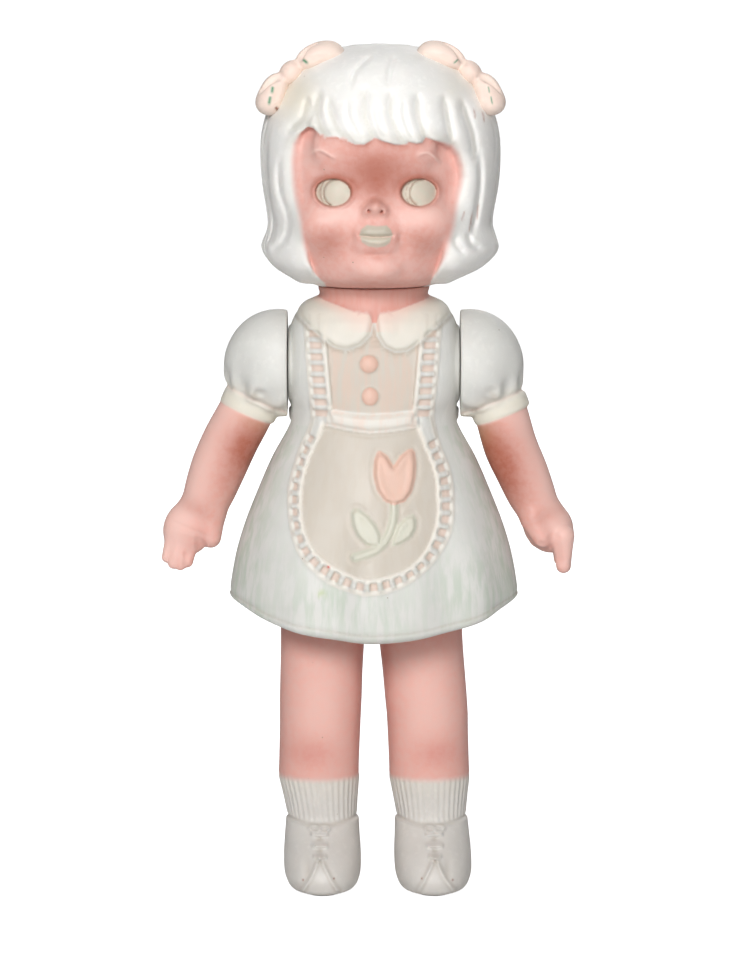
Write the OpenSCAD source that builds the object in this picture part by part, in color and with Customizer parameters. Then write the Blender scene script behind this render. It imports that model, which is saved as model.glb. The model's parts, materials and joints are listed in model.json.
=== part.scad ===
// Jointed bisque doll with a moulded dress, strung with elastic.
// Millimetres, +Z up, the doll faces -Y and stands on Z = 0.
// Left and right are the doll's own: its left side is +X.

/* [Body and dress] */
// Thickness of every cast wall
wall = 3; // [2.4:0.1:3.2]
// Distance from the middle to the flat shoulder face
shoulder_x = 29.6; // [29:0.1:31]
// Height of the shoulder axis
shoulder_z = 183; // [182.5:0.5:184]
// Height of the hem at the side seams
hem_z = 100.5; // [99:0.5:102]
// How much lower the hem hangs at the front and back
hem_dip = 10.5; // [8:0.5:12]
// Underside of the floor that closes the dress
floor_z = 107.5; // [107:0.5:109]

/* [Neck] */
// Radius of the neck
neck_r = 19.3; // [18.5:0.1:20]
// Height of the joint between neck and head
neck_z = 210; // [209.6:0.1:210.4]
// Radius of the spigot that the head turns on
spigot_r = 14; // [13:0.1:15]

/* [Limb joints] */
// Radius of the boss on each arm and leg
boss_r = 5.5; // [5:0.1:6]
// Radial clearance of each boss in its hole
boss_gap = 0.2; // [0.1:0.05:0.3]
// Thickness of the leather washers
washer_t = 0.8; // [0.6:0.1:1]
// Radius of the wooden plugs
plug_r = 3.6; // [3.2:0.1:4]
// Distance from the middle to each leg's axis
hip_x = 17.2; // [17:0.1:17.6]

/* [Arms] */
// Outward lean of the left arm, from vertical
left_arm_lean = 22; // [21:0.5:23]
// Outward lean of the right arm, from vertical
right_arm_lean = 22.5; // [21.5:0.5:23.5]

/* [Stringing] */
// Diameter of the round elastic
elastic_d = 2; // [1.8:0.1:2.2]
// Diameter of the hook and eye wire
wire_d = 1.5; // [1.2:0.1:1.6]

/* [Hidden] */

dress_colour = [0.86, 0.86, 0.83];
skin_colour = [0.90, 0.66, 0.61];
hair_colour = [0.92, 0.92, 0.90];
bow_colour = [0.96, 0.86, 0.80];
leather_colour = [0.78, 0.68, 0.54];
wood_colour = [0.76, 0.60, 0.40];
wire_colour = [0.62, 0.62, 0.64];
elastic_colour = [0.93, 0.92, 0.88];

big = 200;                          // reaches past every part
slack = 0.3;                        // gap between castings that meet at a joint
elastic_r = elastic_d / 2;
wire_r = wire_d / 2;
floor_top = floor_z + wall;
neck_base = 198.5;                  // where the neck starts inside the shoulders
spigot_h = 4.5;                     // height of the neck spigot
spigot_top = neck_z + spigot_h;
socket_top = spigot_top + washer_t; // ceiling of the socket in the head
cavity_z = socket_top + wall;       // bottom of the hollow in the head
stringing_r = 6;                    // radius of the holes that the neck hook passes
boss_h = 3.2;                       // length of each limb's boss
plug_h = 11;                        // length of each wooden plug
toggle_r = 3;
toggle_h = 22;
toggle_z = cavity_z + toggle_r;
hook_eye_r = 5;                     // lower eye of the neck hook, centre of the wire
hook_eye_z = 194.5;
limb_eye_r = 3.2;                   // eye on each limb, centre of the wire
shoulder_eye_x = shoulder_x - boss_h - 6;
hip_eye_z = floor_top + 8;
arm_strand = 2.2;                   // half the gap between the arm elastic's strands
leg_strand = 3.6;                   // half the gap between a leg elastic's strands
leg_loop_lean = 0.8;                // how far the sloping loop's turn moves off the leg's axis
leg_loop_x = 2.4;                   // each leg elastic's place on the neck hook

// ---------- helpers ----------

// One horizontal ring of points: half width a, half depth b, centre [x, y], squareness p.
function ring(z, a, b, x = 0, y = 0, p = 2, n = 40, dip = 0) =
  [for (i = [0:n - 1])
    let (t = 360 * i / n, c = cos(t), s = sin(t))
    [x + a * sign(c) * pow(abs(c), 2 / p), y + b * sign(s) * pow(abs(s), 2 / p), z - dip * s * s]];

// A smooth curve through rows of numbers, with k steps between rows.
function through(a, b, c, d, t) =
  0.5 * (2 * b + (c - a) * t + (2 * a - 5 * b + 4 * c - d) * t * t + (3 * b - a - 3 * c + d) * t * t * t);
function smooth_rows(rows, k = 2) =
  let (m = len(rows) - 1)
  concat([for (i = [0:m - 1], s = [0:k - 1])
    through(rows[max(i - 1, 0)], rows[i], rows[i + 1], rows[min(i + 2, m)], s / k)], [rows[m]]);

function middle(points) = [for (k = [0:2]) [for (p = points) p[k]] * [for (p = points) 1] / len(points)];

// A closed solid through rings of points, listed from the lowest ring up.
module loft(rings) {
  n = len(rings[0]);
  m = len(rings);
  points = concat([middle(rings[0])], [for (r = rings) each r], [middle(rings[m - 1])]);
  function at(j, i) = 1 + j * n + i % n;
  faces = concat(
    [for (i = [0:n - 1]) [0, at(0, i), at(0, i + 1)]],
    [for (j = [0:m - 2], i = [0:n - 1]) each
      [[at(j, i), at(j + 1, i), at(j + 1, i + 1)], [at(j, i), at(j + 1, i + 1), at(j, i + 1)]]],
    [for (i = [0:n - 1]) [m * n + 1, at(m - 1, i + 1), at(m - 1, i)]]);
  polyhedron(points, faces, convexity = 6);
}

// Joins its children into one mesh before any bore is cut.
module one_mesh() resize([0, 0, 0]) children();

// Rows are [z, half width, half depth, centre x, centre y, squareness].
module figure(rows, grow = 0, n = 40, k = 2)
  loft([for (r = smooth_rows(rows, k)) ring(r[0], r[1] + grow, r[2] + grow, r[3], r[4], r[5], n)]);

module ellipsoid(size, n = 32) scale(size) sphere(r = 1, $fn = n);

module capsule(a, b, ra, rb, n = 12) hull() {
  translate(a) sphere(r = ra, $fn = n);
  translate(b) sphere(r = rb, $fn = n);
}

// A washer about the Z axis.
module washer(r, hole, t) difference() {
  cylinder(r = r, h = t, $fn = 64);
  translate([0, 0, -1]) cylinder(r = hole, h = t + 2, $fn = 64);
}

// A wire ring about the Z axis.
module wire_ring(r, wire) rotate_extrude($fn = 64) translate([r, 0]) circle(r = wire, $fn = 24);

// A loop of elastic in the XZ plane: two strands along Z, and a round turn at each end.
module elastic_loop(length, half_gap, r) {
  for (side = [-1, 1]) translate([side * half_gap, 0, 0]) cylinder(r = r, h = length, $fn = 24);
  for (end = [0, 1]) translate([0, 0, end * length]) rotate([90, 0, 0])
    rotate([0, 0, 180 * (1 - end)]) rotate_extrude(angle = 180, $fn = 48)
      translate([half_gap, 0]) circle(r = r, $fn = 24);
}

// ---------- body and dress ----------

torso_rows = [[162, 29.6, 22.8, 0, 0, 2.1], [167.5, 29.3, 22.2, 0, 0, 2.2], [173.5, 29.5, 21.8, 0, 0, 3],
              [181.5, 29.6, 21.4, 0, 0, 3.4], [189.5, 29.6, 20.6, 0, 0, 3.4], [196.5, 29.4, 19.4, 0, 0, 3],
              [201.5, 27.6, 18, 0, 0, 2.6], [204.5, 24, 17.4, 0, 0, 2.2], [206, 20, 17, 0, 0, 2]];
// Rows are [height at the side seam, half width, half depth, share of the hem's dip].
skirt_rows = [[hem_z, 50.2, 38, 1], [hem_z + 4, 50.6, 38.3, 0.85], [116.5, 48.2, 36, 0.5],
              [127.5, 45.1, 33, 0.3], [139, 40.4, 29.6, 0.12], [150.5, 35.3, 25.8, 0.03]];

module body_skin(grow) loft(concat(
  [for (r = smooth_rows(skirt_rows)) ring(r[0], r[1] + grow, r[2] + grow, 0, 0, 2, 36, hem_dip * r[3])],
  [for (r = smooth_rows(torso_rows)) ring(r[0], r[1] + grow, r[2] + grow, 0, 0, r[5], 36)]));

// Outline of the apron's skirt, seen from the front.
module apron_outline() {
  translate([-2, 138.5]) scale([25, 26.5]) circle(r = 1, $fn = 36);
  translate([-2, 138.5]) polygon([[-22.5, 11], [22.5, 11], [17, 25], [-17, 25]]);
}

module ruffle_outline() offset(r = 4, $fn = 24) apron_outline();

module tulip_outline() {
  translate([7, 143]) {
    scale([7.3, 7]) circle(r = 1, $fn = 20);
    for (side = [-1, 1]) polygon([[0, -2], [side * 7.3, 0], [side * 6.6, 12], [side * 4.4, 11]]);
  }
  for (leaf = [[-4, 125.5, 28], [10, 126.5, -38]])
    translate([leaf[0], leaf[1]]) rotate(leaf[2]) scale([2.9, 7.4]) circle(r = 1, $fn = 16);
  polygon([[5, 136.5], [7.8, 136.5], [6.6, 126.5], [1, 120.5], [-6, 118], [-6.4, 120.5],
    [1, 123.5], [4, 128.5]]);
}

// Raised relief: a front outline carried back onto the figure's own surface.
module relief(height) intersection() {
  body_skin(height);
  translate([0, -10, 0]) rotate([90, 0, 0]) linear_extrude(big) children();
}

module collar() intersection() {
  body_skin(1.2);
  union() for (side = [-1, 1])
    translate([side * 11.5, -13, 200]) rotate([0, 0, side * 12]) ellipsoid([13.5, 17, 10.5], 24);
  translate([-big / 2, -big, 0]) cube([big, big + 6, 2 * big]);
}

module body_and_dress() color(dress_colour) difference() {
  union() {
    one_mesh() difference() {
      union() {
        body_skin(0);
        relief(0.9) ruffle_outline();
        relief(1.3) apron_outline();
        relief(2) tulip_outline();
        relief(1.6) for (side = [-1, 1]) translate([side * 12.5 - 4, 160.5]) square([4, 7]);
        relief(1.6) translate([-17, 161]) square([32, 7]);
        relief(1.1) for (side = [-1, 1]) polygon([[side * 14 - 1, 165.5], [side * 21 - 1, 165.5],
          [side * 23.5, 198.5], [side * 17.5, 198.5]]);
        relief(1.8) for (z = [184.5, 173.5]) translate([-2, z]) circle(r = 3.2, $fn = 16);
        collar();
        for (side = [-1, 1]) translate([0, 0, shoulder_z]) rotate([0, side * 90, 0])
          translate([0, 0, shoulder_x - 6]) cylinder(r = 13, h = 6, $fn = 40);
      }
      difference() {                 // hollow above the floor
        body_skin(-wall);
        translate([-big / 2, -big / 2, 0]) cube([big, big, floor_top]);
      }
      difference() {                 // recess below the floor
        body_skin(-wall);
        translate([-big / 2, -big / 2, floor_z]) cube([big, big, big]);
      }
      translate([0, 0, hem_z - 24]) linear_extrude(floor_z - hem_z + 24)
        scale([1, 0.725]) circle(r = 47, $fn = 48);
    }
    translate([0, 0, neck_base]) cylinder(r = neck_r, h = neck_z - neck_base, $fn = 96);
    translate([0, 0, neck_base]) cylinder(r = spigot_r, h = spigot_top - neck_base, $fn = 96);
  }
  translate([0, 0, neck_base - wall])
    cylinder(r = spigot_r - wall, h = spigot_top - neck_base, $fn = 96);
  cylinder(r = stringing_r, h = 2 * big, $fn = 64);
  for (side = [-1, 1]) {
    translate([side * shoulder_x, 0, shoulder_z]) rotate([0, side * 90, 0]) {
      translate([0, 0, -9]) cylinder(r = boss_r + boss_gap, h = 20, $fn = 64);
      translate([0, 0, -washer_t]) cylinder(r = 11, h = 10, $fn = 64);
    }
    translate([side * hip_x, 0, floor_z - 6]) cylinder(r = boss_r + boss_gap, h = 14, $fn = 64);
  }
}

module neck_ring() color(leather_colour) translate([0, 0, spigot_top])
  washer(spigot_r - 1, stringing_r + 0.5, washer_t);

module shoulder_washer(side) color(leather_colour)
  translate([side * (shoulder_x - washer_t), 0, shoulder_z]) rotate([0, side * 90, 0])
    washer(10.6, boss_r + boss_gap, washer_t);

module hip_washer(side) color(leather_colour)
  translate([side * hip_x, 0, floor_z - washer_t]) washer(10, boss_r + boss_gap, washer_t);

// ---------- stringing ----------

// Where the loops sit inside the eyes, from each wire's centre.
loop_reach = wire_r + elastic_r + 0.1;

module arm_elastic() color(elastic_colour) {
  reach = shoulder_eye_x - limb_eye_r + loop_reach - arm_strand;
  translate([-reach, 0, shoulder_z]) rotate([0, 90, 0])
    elastic_loop(2 * reach, arm_strand, elastic_r);
}

module leg_elastic(side) color(elastic_colour) {
  top = [side * leg_loop_x, hook_eye_z - 2.6 - leg_strand];
  bottom = [side * (hip_x - leg_loop_lean), hip_eye_z + limb_eye_r - loop_reach + leg_strand];
  span = top - bottom;
  translate([bottom[0], 0, bottom[1]]) rotate([0, atan2(span[0], span[1]), 0])
    rotate([0, 0, 90]) elastic_loop(norm(span), leg_strand, elastic_r);
}

// ---------- head ----------

face_rows = [[neck_z + 2 * slack, 19.4, 19.4, 0, 0, 2], [212.7, 23, 25.5, 0, -4.5, 2],
             [216, 26.5, 28.5, 0, -4.7, 2], [221.5, 30, 31.5, 0, -3.6, 2.1], [229.5, 33, 34.5, 0, -1.8, 2.2],
             [238.5, 34, 35.6, 0, 0, 2.2], [247.5, 34, 35.4, 0, 0, 2.1], [257.5, 33.6, 35.4, 0, 0, 2],
             [267.5, 31.6, 32.6, 0, 0, 2], [275.5, 27, 28, 0, 0, 2]];
hair_x = 2.3;                        // the hair sits a little to the doll's left of the face
hair_rows = [[neck_z + slack, 19.8, 19.8, 0, 0, 2], [213, 29.4, 29.4, 0.8, 2, 2.1],
             [217.5, 37, 36.4, 1.6, 1, 2.2], [224, 40.8, 38.8, hair_x, 1, 2.2],
             [232.5, 39.2, 38.4, hair_x, 1, 2.1], [245.5, 41.2, 39.4, hair_x, 0.6, 2],
             [257.5, 41.8, 39.4, hair_x, 0.4, 2], [266.5, 40.4, 38.2, hair_x, 0.5, 2],
             [275.5, 36.6, 34.8, hair_x, 0.5, 2], [283.5, 30.6, 29.2, hair_x, 0.5, 2],
             [289.5, 21.6, 20.8, hair_x, 0.5, 2], [292.5, 11, 11, hair_x, 0.5, 2],
             [293.3, 2, 2, hair_x, 0.5, 2]];
face_window = [[-19.4, 207.5], [-24.9, 224], [-25.9, 235.5], [-29.2, 247.5], [-29, 257.5], [-25, 264.5],
               [-17, 263], [-6.5, 260.5], [7, 260.5], [20, 260], [27, 259], [30, 251.5], [28.6, 242.5],
               [25.8, 231.5], [23.2, 221.5], [19.4, 207.5]];

module face_features() {
  for (side = [-1, 1]) translate([side * 14.4 + 0.5, -33.2, 243.7]) ellipsoid([6.3, 2.6, 4.9], 24);
  translate([0, -35.2, 238]) ellipsoid([4.2, 4.4, 3.4], 24);
  translate([0, -34.6, 231]) ellipsoid([5, 3.4, 2], 24);
  translate([0, -34.2, 227.5]) ellipsoid([4.6, 3.4, 2.2], 24);
}

module head() color(hair_colour) difference() {
  one_mesh() difference() {
    union() {
      color(skin_colour) figure(face_rows);
      color(skin_colour) face_features();
      difference() {
        figure(hair_rows);
        translate([0, -12, 0]) rotate([90, 0, 0]) linear_extrude(big)
          offset(r = 2, $fn = 24) offset(delta = -2) polygon(face_window);
      }
    }
    difference() {                   // hollow behind the face and under the hair
      union() {
        figure(face_rows, grow = -wall, n = 28, k = 1);
        difference() {
          figure(hair_rows, grow = -wall, n = 28, k = 1);
          translate([-big / 2, -big - 8, 0]) cube([big, big, 266]);
        }
      }
      translate([-big / 2, -big / 2, 0]) cube([big, big, cavity_z]);
      translate([-big / 2, -big / 2, 290]) cube(big);
    }
    cylinder(r = stringing_r - 1, h = neck_z + 30, $fn = 32);
  }
  translate([0, 0, neck_z - 10]) cylinder(r = spigot_r + slack, h = socket_top - neck_z + 10, $fn = 96);
  cylinder(r = stringing_r, h = neck_z + 30, $fn = 64);
}

// A tied ribbon: a knot and two loops laid over the temple.
module hair_bow(side) color(bow_colour) one_mesh() difference() {
  translate([hair_x, 0, 0]) scale([side, 1, 1]) translate([-1.4, 0, 1]) {
    hull() {
      translate([33, -10, 282.5]) sphere(r = 4.2, $fn = 14);
      translate([30.5, -14, 280]) sphere(r = 3.6, $fn = 14);
    }
    hull() {
      translate([29, -11, 285.5]) sphere(r = 3, $fn = 14);
      translate([20, -8, 289.1]) sphere(r = 4.6, $fn = 14);
      translate([24, -17, 284.5]) sphere(r = 4, $fn = 14);
      translate([17, -14, 287.9]) sphere(r = 3.6, $fn = 14);
    }
    hull() {
      translate([34.5, -11, 279.5]) sphere(r = 3, $fn = 14);
      translate([41, -7, 273.1]) sphere(r = 3.8, $fn = 14);
      translate([36, -17, 273.1]) sphere(r = 4, $fn = 14);
      translate([39, -11, 269.1]) sphere(r = 3.6, $fn = 14);
    }
  }
  figure(hair_rows, grow = 0.02);
}

module neck_toggle() color(wood_colour) translate([-toggle_h / 2, 0, toggle_z])
  rotate([0, 90, 0]) cylinder(r = toggle_r, h = toggle_h, $fn = 48);

module neck_hook() color(wire_colour) {
  eye_r = toggle_r + wire_r + 0.1;
  translate([0, 0, toggle_z]) rotate([0, 90, 0]) wire_ring(eye_r, wire_r);
  translate([0, 0, hook_eye_z + hook_eye_r]) cylinder(r = wire_r, h = toggle_z - eye_r
    - hook_eye_z - hook_eye_r, $fn = 24);
  translate([0, 0, hook_eye_z]) rotate([90, 0, 0]) wire_ring(hook_eye_r, wire_r);
}

// ---------- limbs ----------

// A wooden plug from its outer end down, and the eye screwed into it, both about the Z axis.
module plug() color(wood_colour) translate([0, 0, -plug_h]) difference() {
  cylinder(r = plug_r, h = plug_h, $fn = 48);
  translate([0, 0, 3]) cylinder(r = wire_r, h = plug_h, $fn = 24);
}

module eye(reach, turn) color(wire_colour) {
  translate([0, 0, 3 - plug_h]) cylinder(r = wire_r, h = plug_h - 3 + reach - limb_eye_r, $fn = 24);
  translate([0, 0, reach]) rotate([0, 0, turn]) rotate([90, 0, 0]) wire_ring(limb_eye_r, wire_r);
}

// Puts a child that is built about +Z at the shoulder, with +Z pointing into the body.
module at_shoulder(side) translate([side * (shoulder_x - boss_h), 0, shoulder_z])
  rotate([0, side * -90, 0]) children();

module at_hip(side) translate([side * hip_x, 0, floor_z + boss_h]) children();

// How far each finger reaches past the shortest one, from the little finger or the first finger.
flat_fingers = [0.6, 2.2, 2.6, 1.4];
curled_fingers = [0.6, 1.6, 1, 0];

// The arm below the sleeve, built about its own axis, pointing down from the cuff.
module forearm(hand) {
  rows = [[-43, 7.2, 7, 0, 0, 2], [-39, 7.8, 7.5, 0.2, 0, 2], [-33, 8.8, 8.6, 0.2, 0, 2],
          [-25, 9.4, 9.3, 0.2, 0, 2], [-14, 9.7, 9.6, 0, 0, 2], [-4, 9.7, 9.6, 0, 0, 2],
          [4, 9.4, 9.4, 0, 0, 2]];
  figure(rows, n = 24);
  if (hand == "flat") {              // palm towards the back, fingers together, thumb apart
    translate([0.6, 0, -46.6]) ellipsoid([8.2, 6, 8.4], 20);
    for (f = [0:3])
      capsule([5.6 - 3.2 * f, -1, -50], [5.2 - 2.5 * f, -2.6, -57.4 - flat_fingers[f]], 2.8, 2.2);
    capsule([-5.2, -1, -43.4], [-6, -2.2, -48.6], 4.2, 2.8);
  }
  if (hand == "curled") {            // palm towards the body, fingers curled, thumb in front
    translate([1, 0, -46.6]) ellipsoid([6.8, 8.8, 8.4], 20);
    for (f = [0:3])
      capsule([3.6, -5.6 + 3.8 * f, -51], [1, -6.2 + 3.8 * f, -57.8 - curled_fingers[f]], 3.5, 2.5);
    capsule([-3.6, -6, -45], [-2.6, -8.2, -53], 3.9, 2.9);
  }
}

// Middle of the puffed sleeve.
sleeve_x = shoulder_x + 3.6;
sleeve_z = shoulder_z + 0.2;

// An arm for the +X side, with the middle of its cuff at [cuff_x, 0, cuff_z].
cuff_z = 167.5;
module arm_shape(lean, cuff_x, hand) difference() {
  union() {
    one_mesh() difference() {
      union() {
        translate([sleeve_x, 0, sleeve_z]) ellipsoid([18.2, 17.8, 18.4], 28);
        translate([cuff_x, 0, cuff_z]) rotate([0, -lean, 0]) {
          translate([0, 0, -4]) cylinder(r1 = 10.1, r2 = 10.6, h = 7, $fn = 28);
          forearm(hand);
        }
      }
      translate([shoulder_x + slack - big, -big / 2, 0]) cube([big, big, 2 * big]);
      hull() {
        translate([shoulder_x + 8, 0, sleeve_z]) sphere(r = 9.6, $fn = 20);
        translate([cuff_x, 0, cuff_z]) sphere(r = 6.5, $fn = 20);
      }
      translate([cuff_x, 0, cuff_z]) rotate([0, -lean, 0]) capsule([0, 0, 0], [0.2, 0, -34], 6.5, 5.2, 20);
      translate([0, 0, shoulder_z]) rotate([0, 90, 0])
        cylinder(r = plug_r - 1, h = shoulder_x + 8, $fn = 32);
    }
    translate([shoulder_x - boss_h, 0, shoulder_z]) rotate([0, 90, 0])
      cylinder(r = boss_r, h = boss_h + wall + 1, $fn = 64);
  }
  translate([shoulder_x - big / 2, 0, shoulder_z]) rotate([0, 90, 0])
    cylinder(r = plug_r + 0.02, h = big / 2 + 8, $fn = 64);
}

module left_arm() color(skin_colour) arm_shape(left_arm_lean, 44.2, "curled");
module right_arm() color(skin_colour) mirror([1, 0, 0]) arm_shape(right_arm_lean, 43.6, "flat");

leg_top = floor_z - washer_t - slack;
// Rows are [z, half width, half depth, centre x, centre y, squareness].
leg_rows = [[0, 11.4, 19.8, 19.9, -7.6, 2.2], [1.4, 12.8, 21.6, 19.9, -7.6, 2.2],
            [5, 13.4, 22.2, 19.9, -7.6, 2.2], [10, 13.3, 20.8, 19.8, -7, 2.1],
            [14, 13, 18.2, 19.7, -5.2, 2], [18, 12.7, 15.4, 19.6, -2.8, 2],
            [23, 12.4, 12.8, 19.4, -0.4, 2], [25, 12.4, 12.2, 19.4, 0.2, 2], [31, 12.9, 12.7, 19.3, 0.2, 2],
            [38.5, 13.8, 13.6, 19.2, 0, 2], [42, 14, 13.8, 19.1, 0, 2], [58, 14.1, 14, 18.3, 0, 2],
            [74, 14.3, 14.2, 17.7, 0, 2], [88, 14.6, 14.6, 17.1, 0, 2], [leg_top, 14.8, 14.8, 17, 0, 2]];

// A leg, sock and shoe for the +X side.
module leg_shape() difference() {
  union() {
    one_mesh() difference() {
      figure(leg_rows, n = 28);
      figure([for (r = leg_rows) if (r[0] > 4)   // the hollow stops short of the sole and the top
        [min(max(r[0], 2 * wall), leg_top - wall), r[1], r[2], r[3], r[4], r[5]]],
        grow = -wall, n = 24, k = 1);
      translate([hip_x, 0, floor_z - 10]) cylinder(r = plug_r - 1, h = 20, $fn = 32);
    }
    translate([hip_x, 0, floor_z - wall - 2]) cylinder(r = boss_r, h = wall + 2 + boss_h, $fn = 64);
  }
  translate([hip_x, 0, floor_z - 10]) cylinder(r = plug_r + 0.02, h = 20, $fn = 64);
}

module left_leg() color(skin_colour) leg_shape();
module right_leg() color(skin_colour) mirror([1, 0, 0]) leg_shape();

// ---------- nodes ----------

body_and_dress();
neck_ring();
shoulder_washer(1);  // left_shoulder_washer
shoulder_washer(-1);  // right_shoulder_washer
hip_washer(1);  // left_hip_washer
hip_washer(-1);  // right_hip_washer
arm_elastic();
leg_elastic(1);  // left_leg_elastic
leg_elastic(-1);  // right_leg_elastic
head();
hair_bow(1);  // left_hair_bow
hair_bow(-1);  // right_hair_bow
neck_toggle();
neck_hook();
left_arm();
at_shoulder(1) plug();  // left_arm_plug
at_shoulder(1) eye(6, 90);  // left_arm_eye
right_arm();
at_shoulder(-1) plug();  // right_arm_plug
at_shoulder(-1) eye(6, 90);  // right_arm_eye
left_leg();
at_hip(1) plug();  // left_leg_plug
at_hip(1) eye(hip_eye_z - floor_z - boss_h, 0);  // left_leg_eye
right_leg();
at_hip(-1) plug();  // right_leg_plug
at_hip(-1) eye(hip_eye_z - floor_z - boss_h, 0);  // right_leg_eye
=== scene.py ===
"""Looks of the jointed bisque doll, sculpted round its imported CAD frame.

Each casting is sculpted as a block of signed distances, in millimetres from its own joint: +Z up,
the doll faces -Y, and its left side is +X. Blender objects are in metres in the row frame, and
stay at the origin, so a material's object coordinates are places on the doll.
"""

import json
import math

import bpy
import numpy as np
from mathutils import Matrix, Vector


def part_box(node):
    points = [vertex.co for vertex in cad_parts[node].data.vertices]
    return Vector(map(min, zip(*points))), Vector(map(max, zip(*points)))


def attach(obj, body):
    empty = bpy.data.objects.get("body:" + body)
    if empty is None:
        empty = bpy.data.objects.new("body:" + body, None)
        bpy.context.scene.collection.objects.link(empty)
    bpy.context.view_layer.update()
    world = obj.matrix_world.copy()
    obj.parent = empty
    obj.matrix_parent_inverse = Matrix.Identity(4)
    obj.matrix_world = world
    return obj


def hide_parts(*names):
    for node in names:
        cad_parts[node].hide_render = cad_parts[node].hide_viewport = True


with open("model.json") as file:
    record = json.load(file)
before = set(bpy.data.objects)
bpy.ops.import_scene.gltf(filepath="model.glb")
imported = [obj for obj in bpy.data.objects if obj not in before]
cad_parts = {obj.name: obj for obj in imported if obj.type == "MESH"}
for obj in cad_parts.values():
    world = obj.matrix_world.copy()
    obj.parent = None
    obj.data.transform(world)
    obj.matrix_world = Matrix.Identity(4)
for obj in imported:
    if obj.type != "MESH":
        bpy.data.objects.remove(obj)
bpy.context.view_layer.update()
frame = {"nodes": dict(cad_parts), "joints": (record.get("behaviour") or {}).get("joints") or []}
nodes = frame["nodes"]
joints = {joint["name"]: np.array(joint["pos_m"]) * 1000 for joint in frame["joints"]}

WALL = 3.0  # thickness of every casting
FLOOR_ABOVE_HEM = 17.5  # the dress's floor, above the lowest point of its hem
COARSE = 1.0
MOST_FACES = 190000  # triangles left in a casting
SMOOTHING = (0.5, -0.3)  # how far each step moves the points towards their neighbours' middles
BOSS_R = 5.5  # the boss on each limb, and its hole in the dress
BOSS_HOLE_R = 5.7
SEAT_R = 11  # the flat round each shoulder's hole
PLUG_HOLE_R = 3.62
SPIGOT_R = 14  # the neck's spigot, and its socket in the head
SOCKET_R = 14.3
STRINGING_R = 6  # holes that the neck hook passes


# ---------- shapes as distances ----------


def ease(start, end, value):
    """0 before start, 1 after end, and an S curve between them."""
    t = np.clip((value - start) / (end - start), 0, 1)
    return t * t * (3 - 2 * t)


def soft_edge(distance, half=0.3):
    """1 inside an outline and 0 outside, over half to either side of it."""
    return ease(half, -half, distance)


def ridge(distance, width):
    """1 on a line, falling away over about width."""
    return np.exp(-((distance / width) ** 2))


def spot(x, z, cx, cz, rx, rz):
    """1 at a point, falling away over rx and rz."""
    return np.exp(-(((x - cx) / rx) ** 2) - ((z - cz) / rz) ** 2)


def join(a, b, blend=0.0):
    """The union of two shapes, with a fillet about blend wide."""
    if np.isscalar(blend) and blend == 0:
        return np.minimum(a, b)
    h = np.maximum(blend - np.abs(a - b), 0) / blend
    return np.minimum(a, b) - h * h * blend / 4


def carve(a, b, blend=0.0):
    """Shape a with shape b cut away."""
    return -join(-a, b, blend)


def keep(a, b, blend=0.0):
    """Where both shapes are."""
    return -join(-a, -b, blend)


def ball(x, y, z, centre, size, lean=0.0):
    """An ellipsoid. lean tips its Z axis towards +X, in degrees."""
    dx, dy, dz = x - centre[0], y - centre[1], z - centre[2]
    if lean:
        c, s = math.cos(math.radians(lean)), math.sin(math.radians(lean))
        dx, dz = dx * c - dz * s, dx * s + dz * c
    a, b, c = size
    near = np.sqrt((dx / a) ** 2 + (dy / b) ** 2 + (dz / c) ** 2)
    slope = np.sqrt((dx / a**2) ** 2 + (dy / b**2) ** 2 + (dz / c**2) ** 2)
    return near * (near - 1) / np.maximum(slope, 1e-6)


def rod(x, y, z, start, end, r0, r1):
    """A round rod between two points whose radius goes from r0 to r1."""
    axis = np.subtract(end, start)
    dx, dy, dz = x - start[0], y - start[1], z - start[2]
    t = np.clip((dx * axis[0] + dy * axis[1] + dz * axis[2]) / axis.dot(axis), 0, 1)
    away = np.sqrt((dx - t * axis[0]) ** 2 + (dy - t * axis[1]) ** 2 + (dz - t * axis[2]) ** 2)
    return away - (r0 + (r1 - r0) * t)


def drum(along, across, start, end, radius):
    """A cylinder: along is the place on its axis, and across the distance from it."""
    return np.maximum(across - radius, np.maximum(start - along, along - end))


def curve_through(points, steps):
    """A smooth curve through rows of numbers, with steps places between rows."""
    p = np.array(points, float)
    before = np.vstack([p[:1], p[:-2], p[-2:-1]])[: len(p) - 1]
    after = np.vstack([p[2:], p[-1:]])
    t = (np.arange(steps) / steps)[None, :, None]
    a, b, c, d = before[:, None], p[:-1, None], p[1:, None], after[:, None]
    out = 2 * b + (c - a) * t + (2 * a - 5 * b + 4 * c - d) * t**2 + (3 * b - a - 3 * c + d) * t**3
    return np.vstack([out.reshape(-1, p.shape[1]) / 2, p[-1:]])


def line(x, z, points, steps=4):
    """Distance from a smooth line in the front view, and the place on the line, in mm along it."""
    p = curve_through(points, steps)
    nearest = np.full(np.broadcast(x, z).shape, 1e6, np.float32)
    place = np.zeros_like(nearest)
    run = 0.0
    for (x0, z0), (x1, z1) in zip(p[:-1], p[1:]):
        ex, ez = x1 - x0, z1 - z0
        length = math.hypot(ex, ez)
        if length < 1e-6:
            continue
        t = np.clip(((x - x0) * ex + (z - z0) * ez) / length**2, 0, 1)
        away = np.hypot(x - x0 - t * ex, z - z0 - t * ez)
        closer = away < nearest
        nearest = np.where(closer, away, nearest)
        place = np.where(closer, run + t * length, place)
        run += length
    return nearest, place, run


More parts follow.
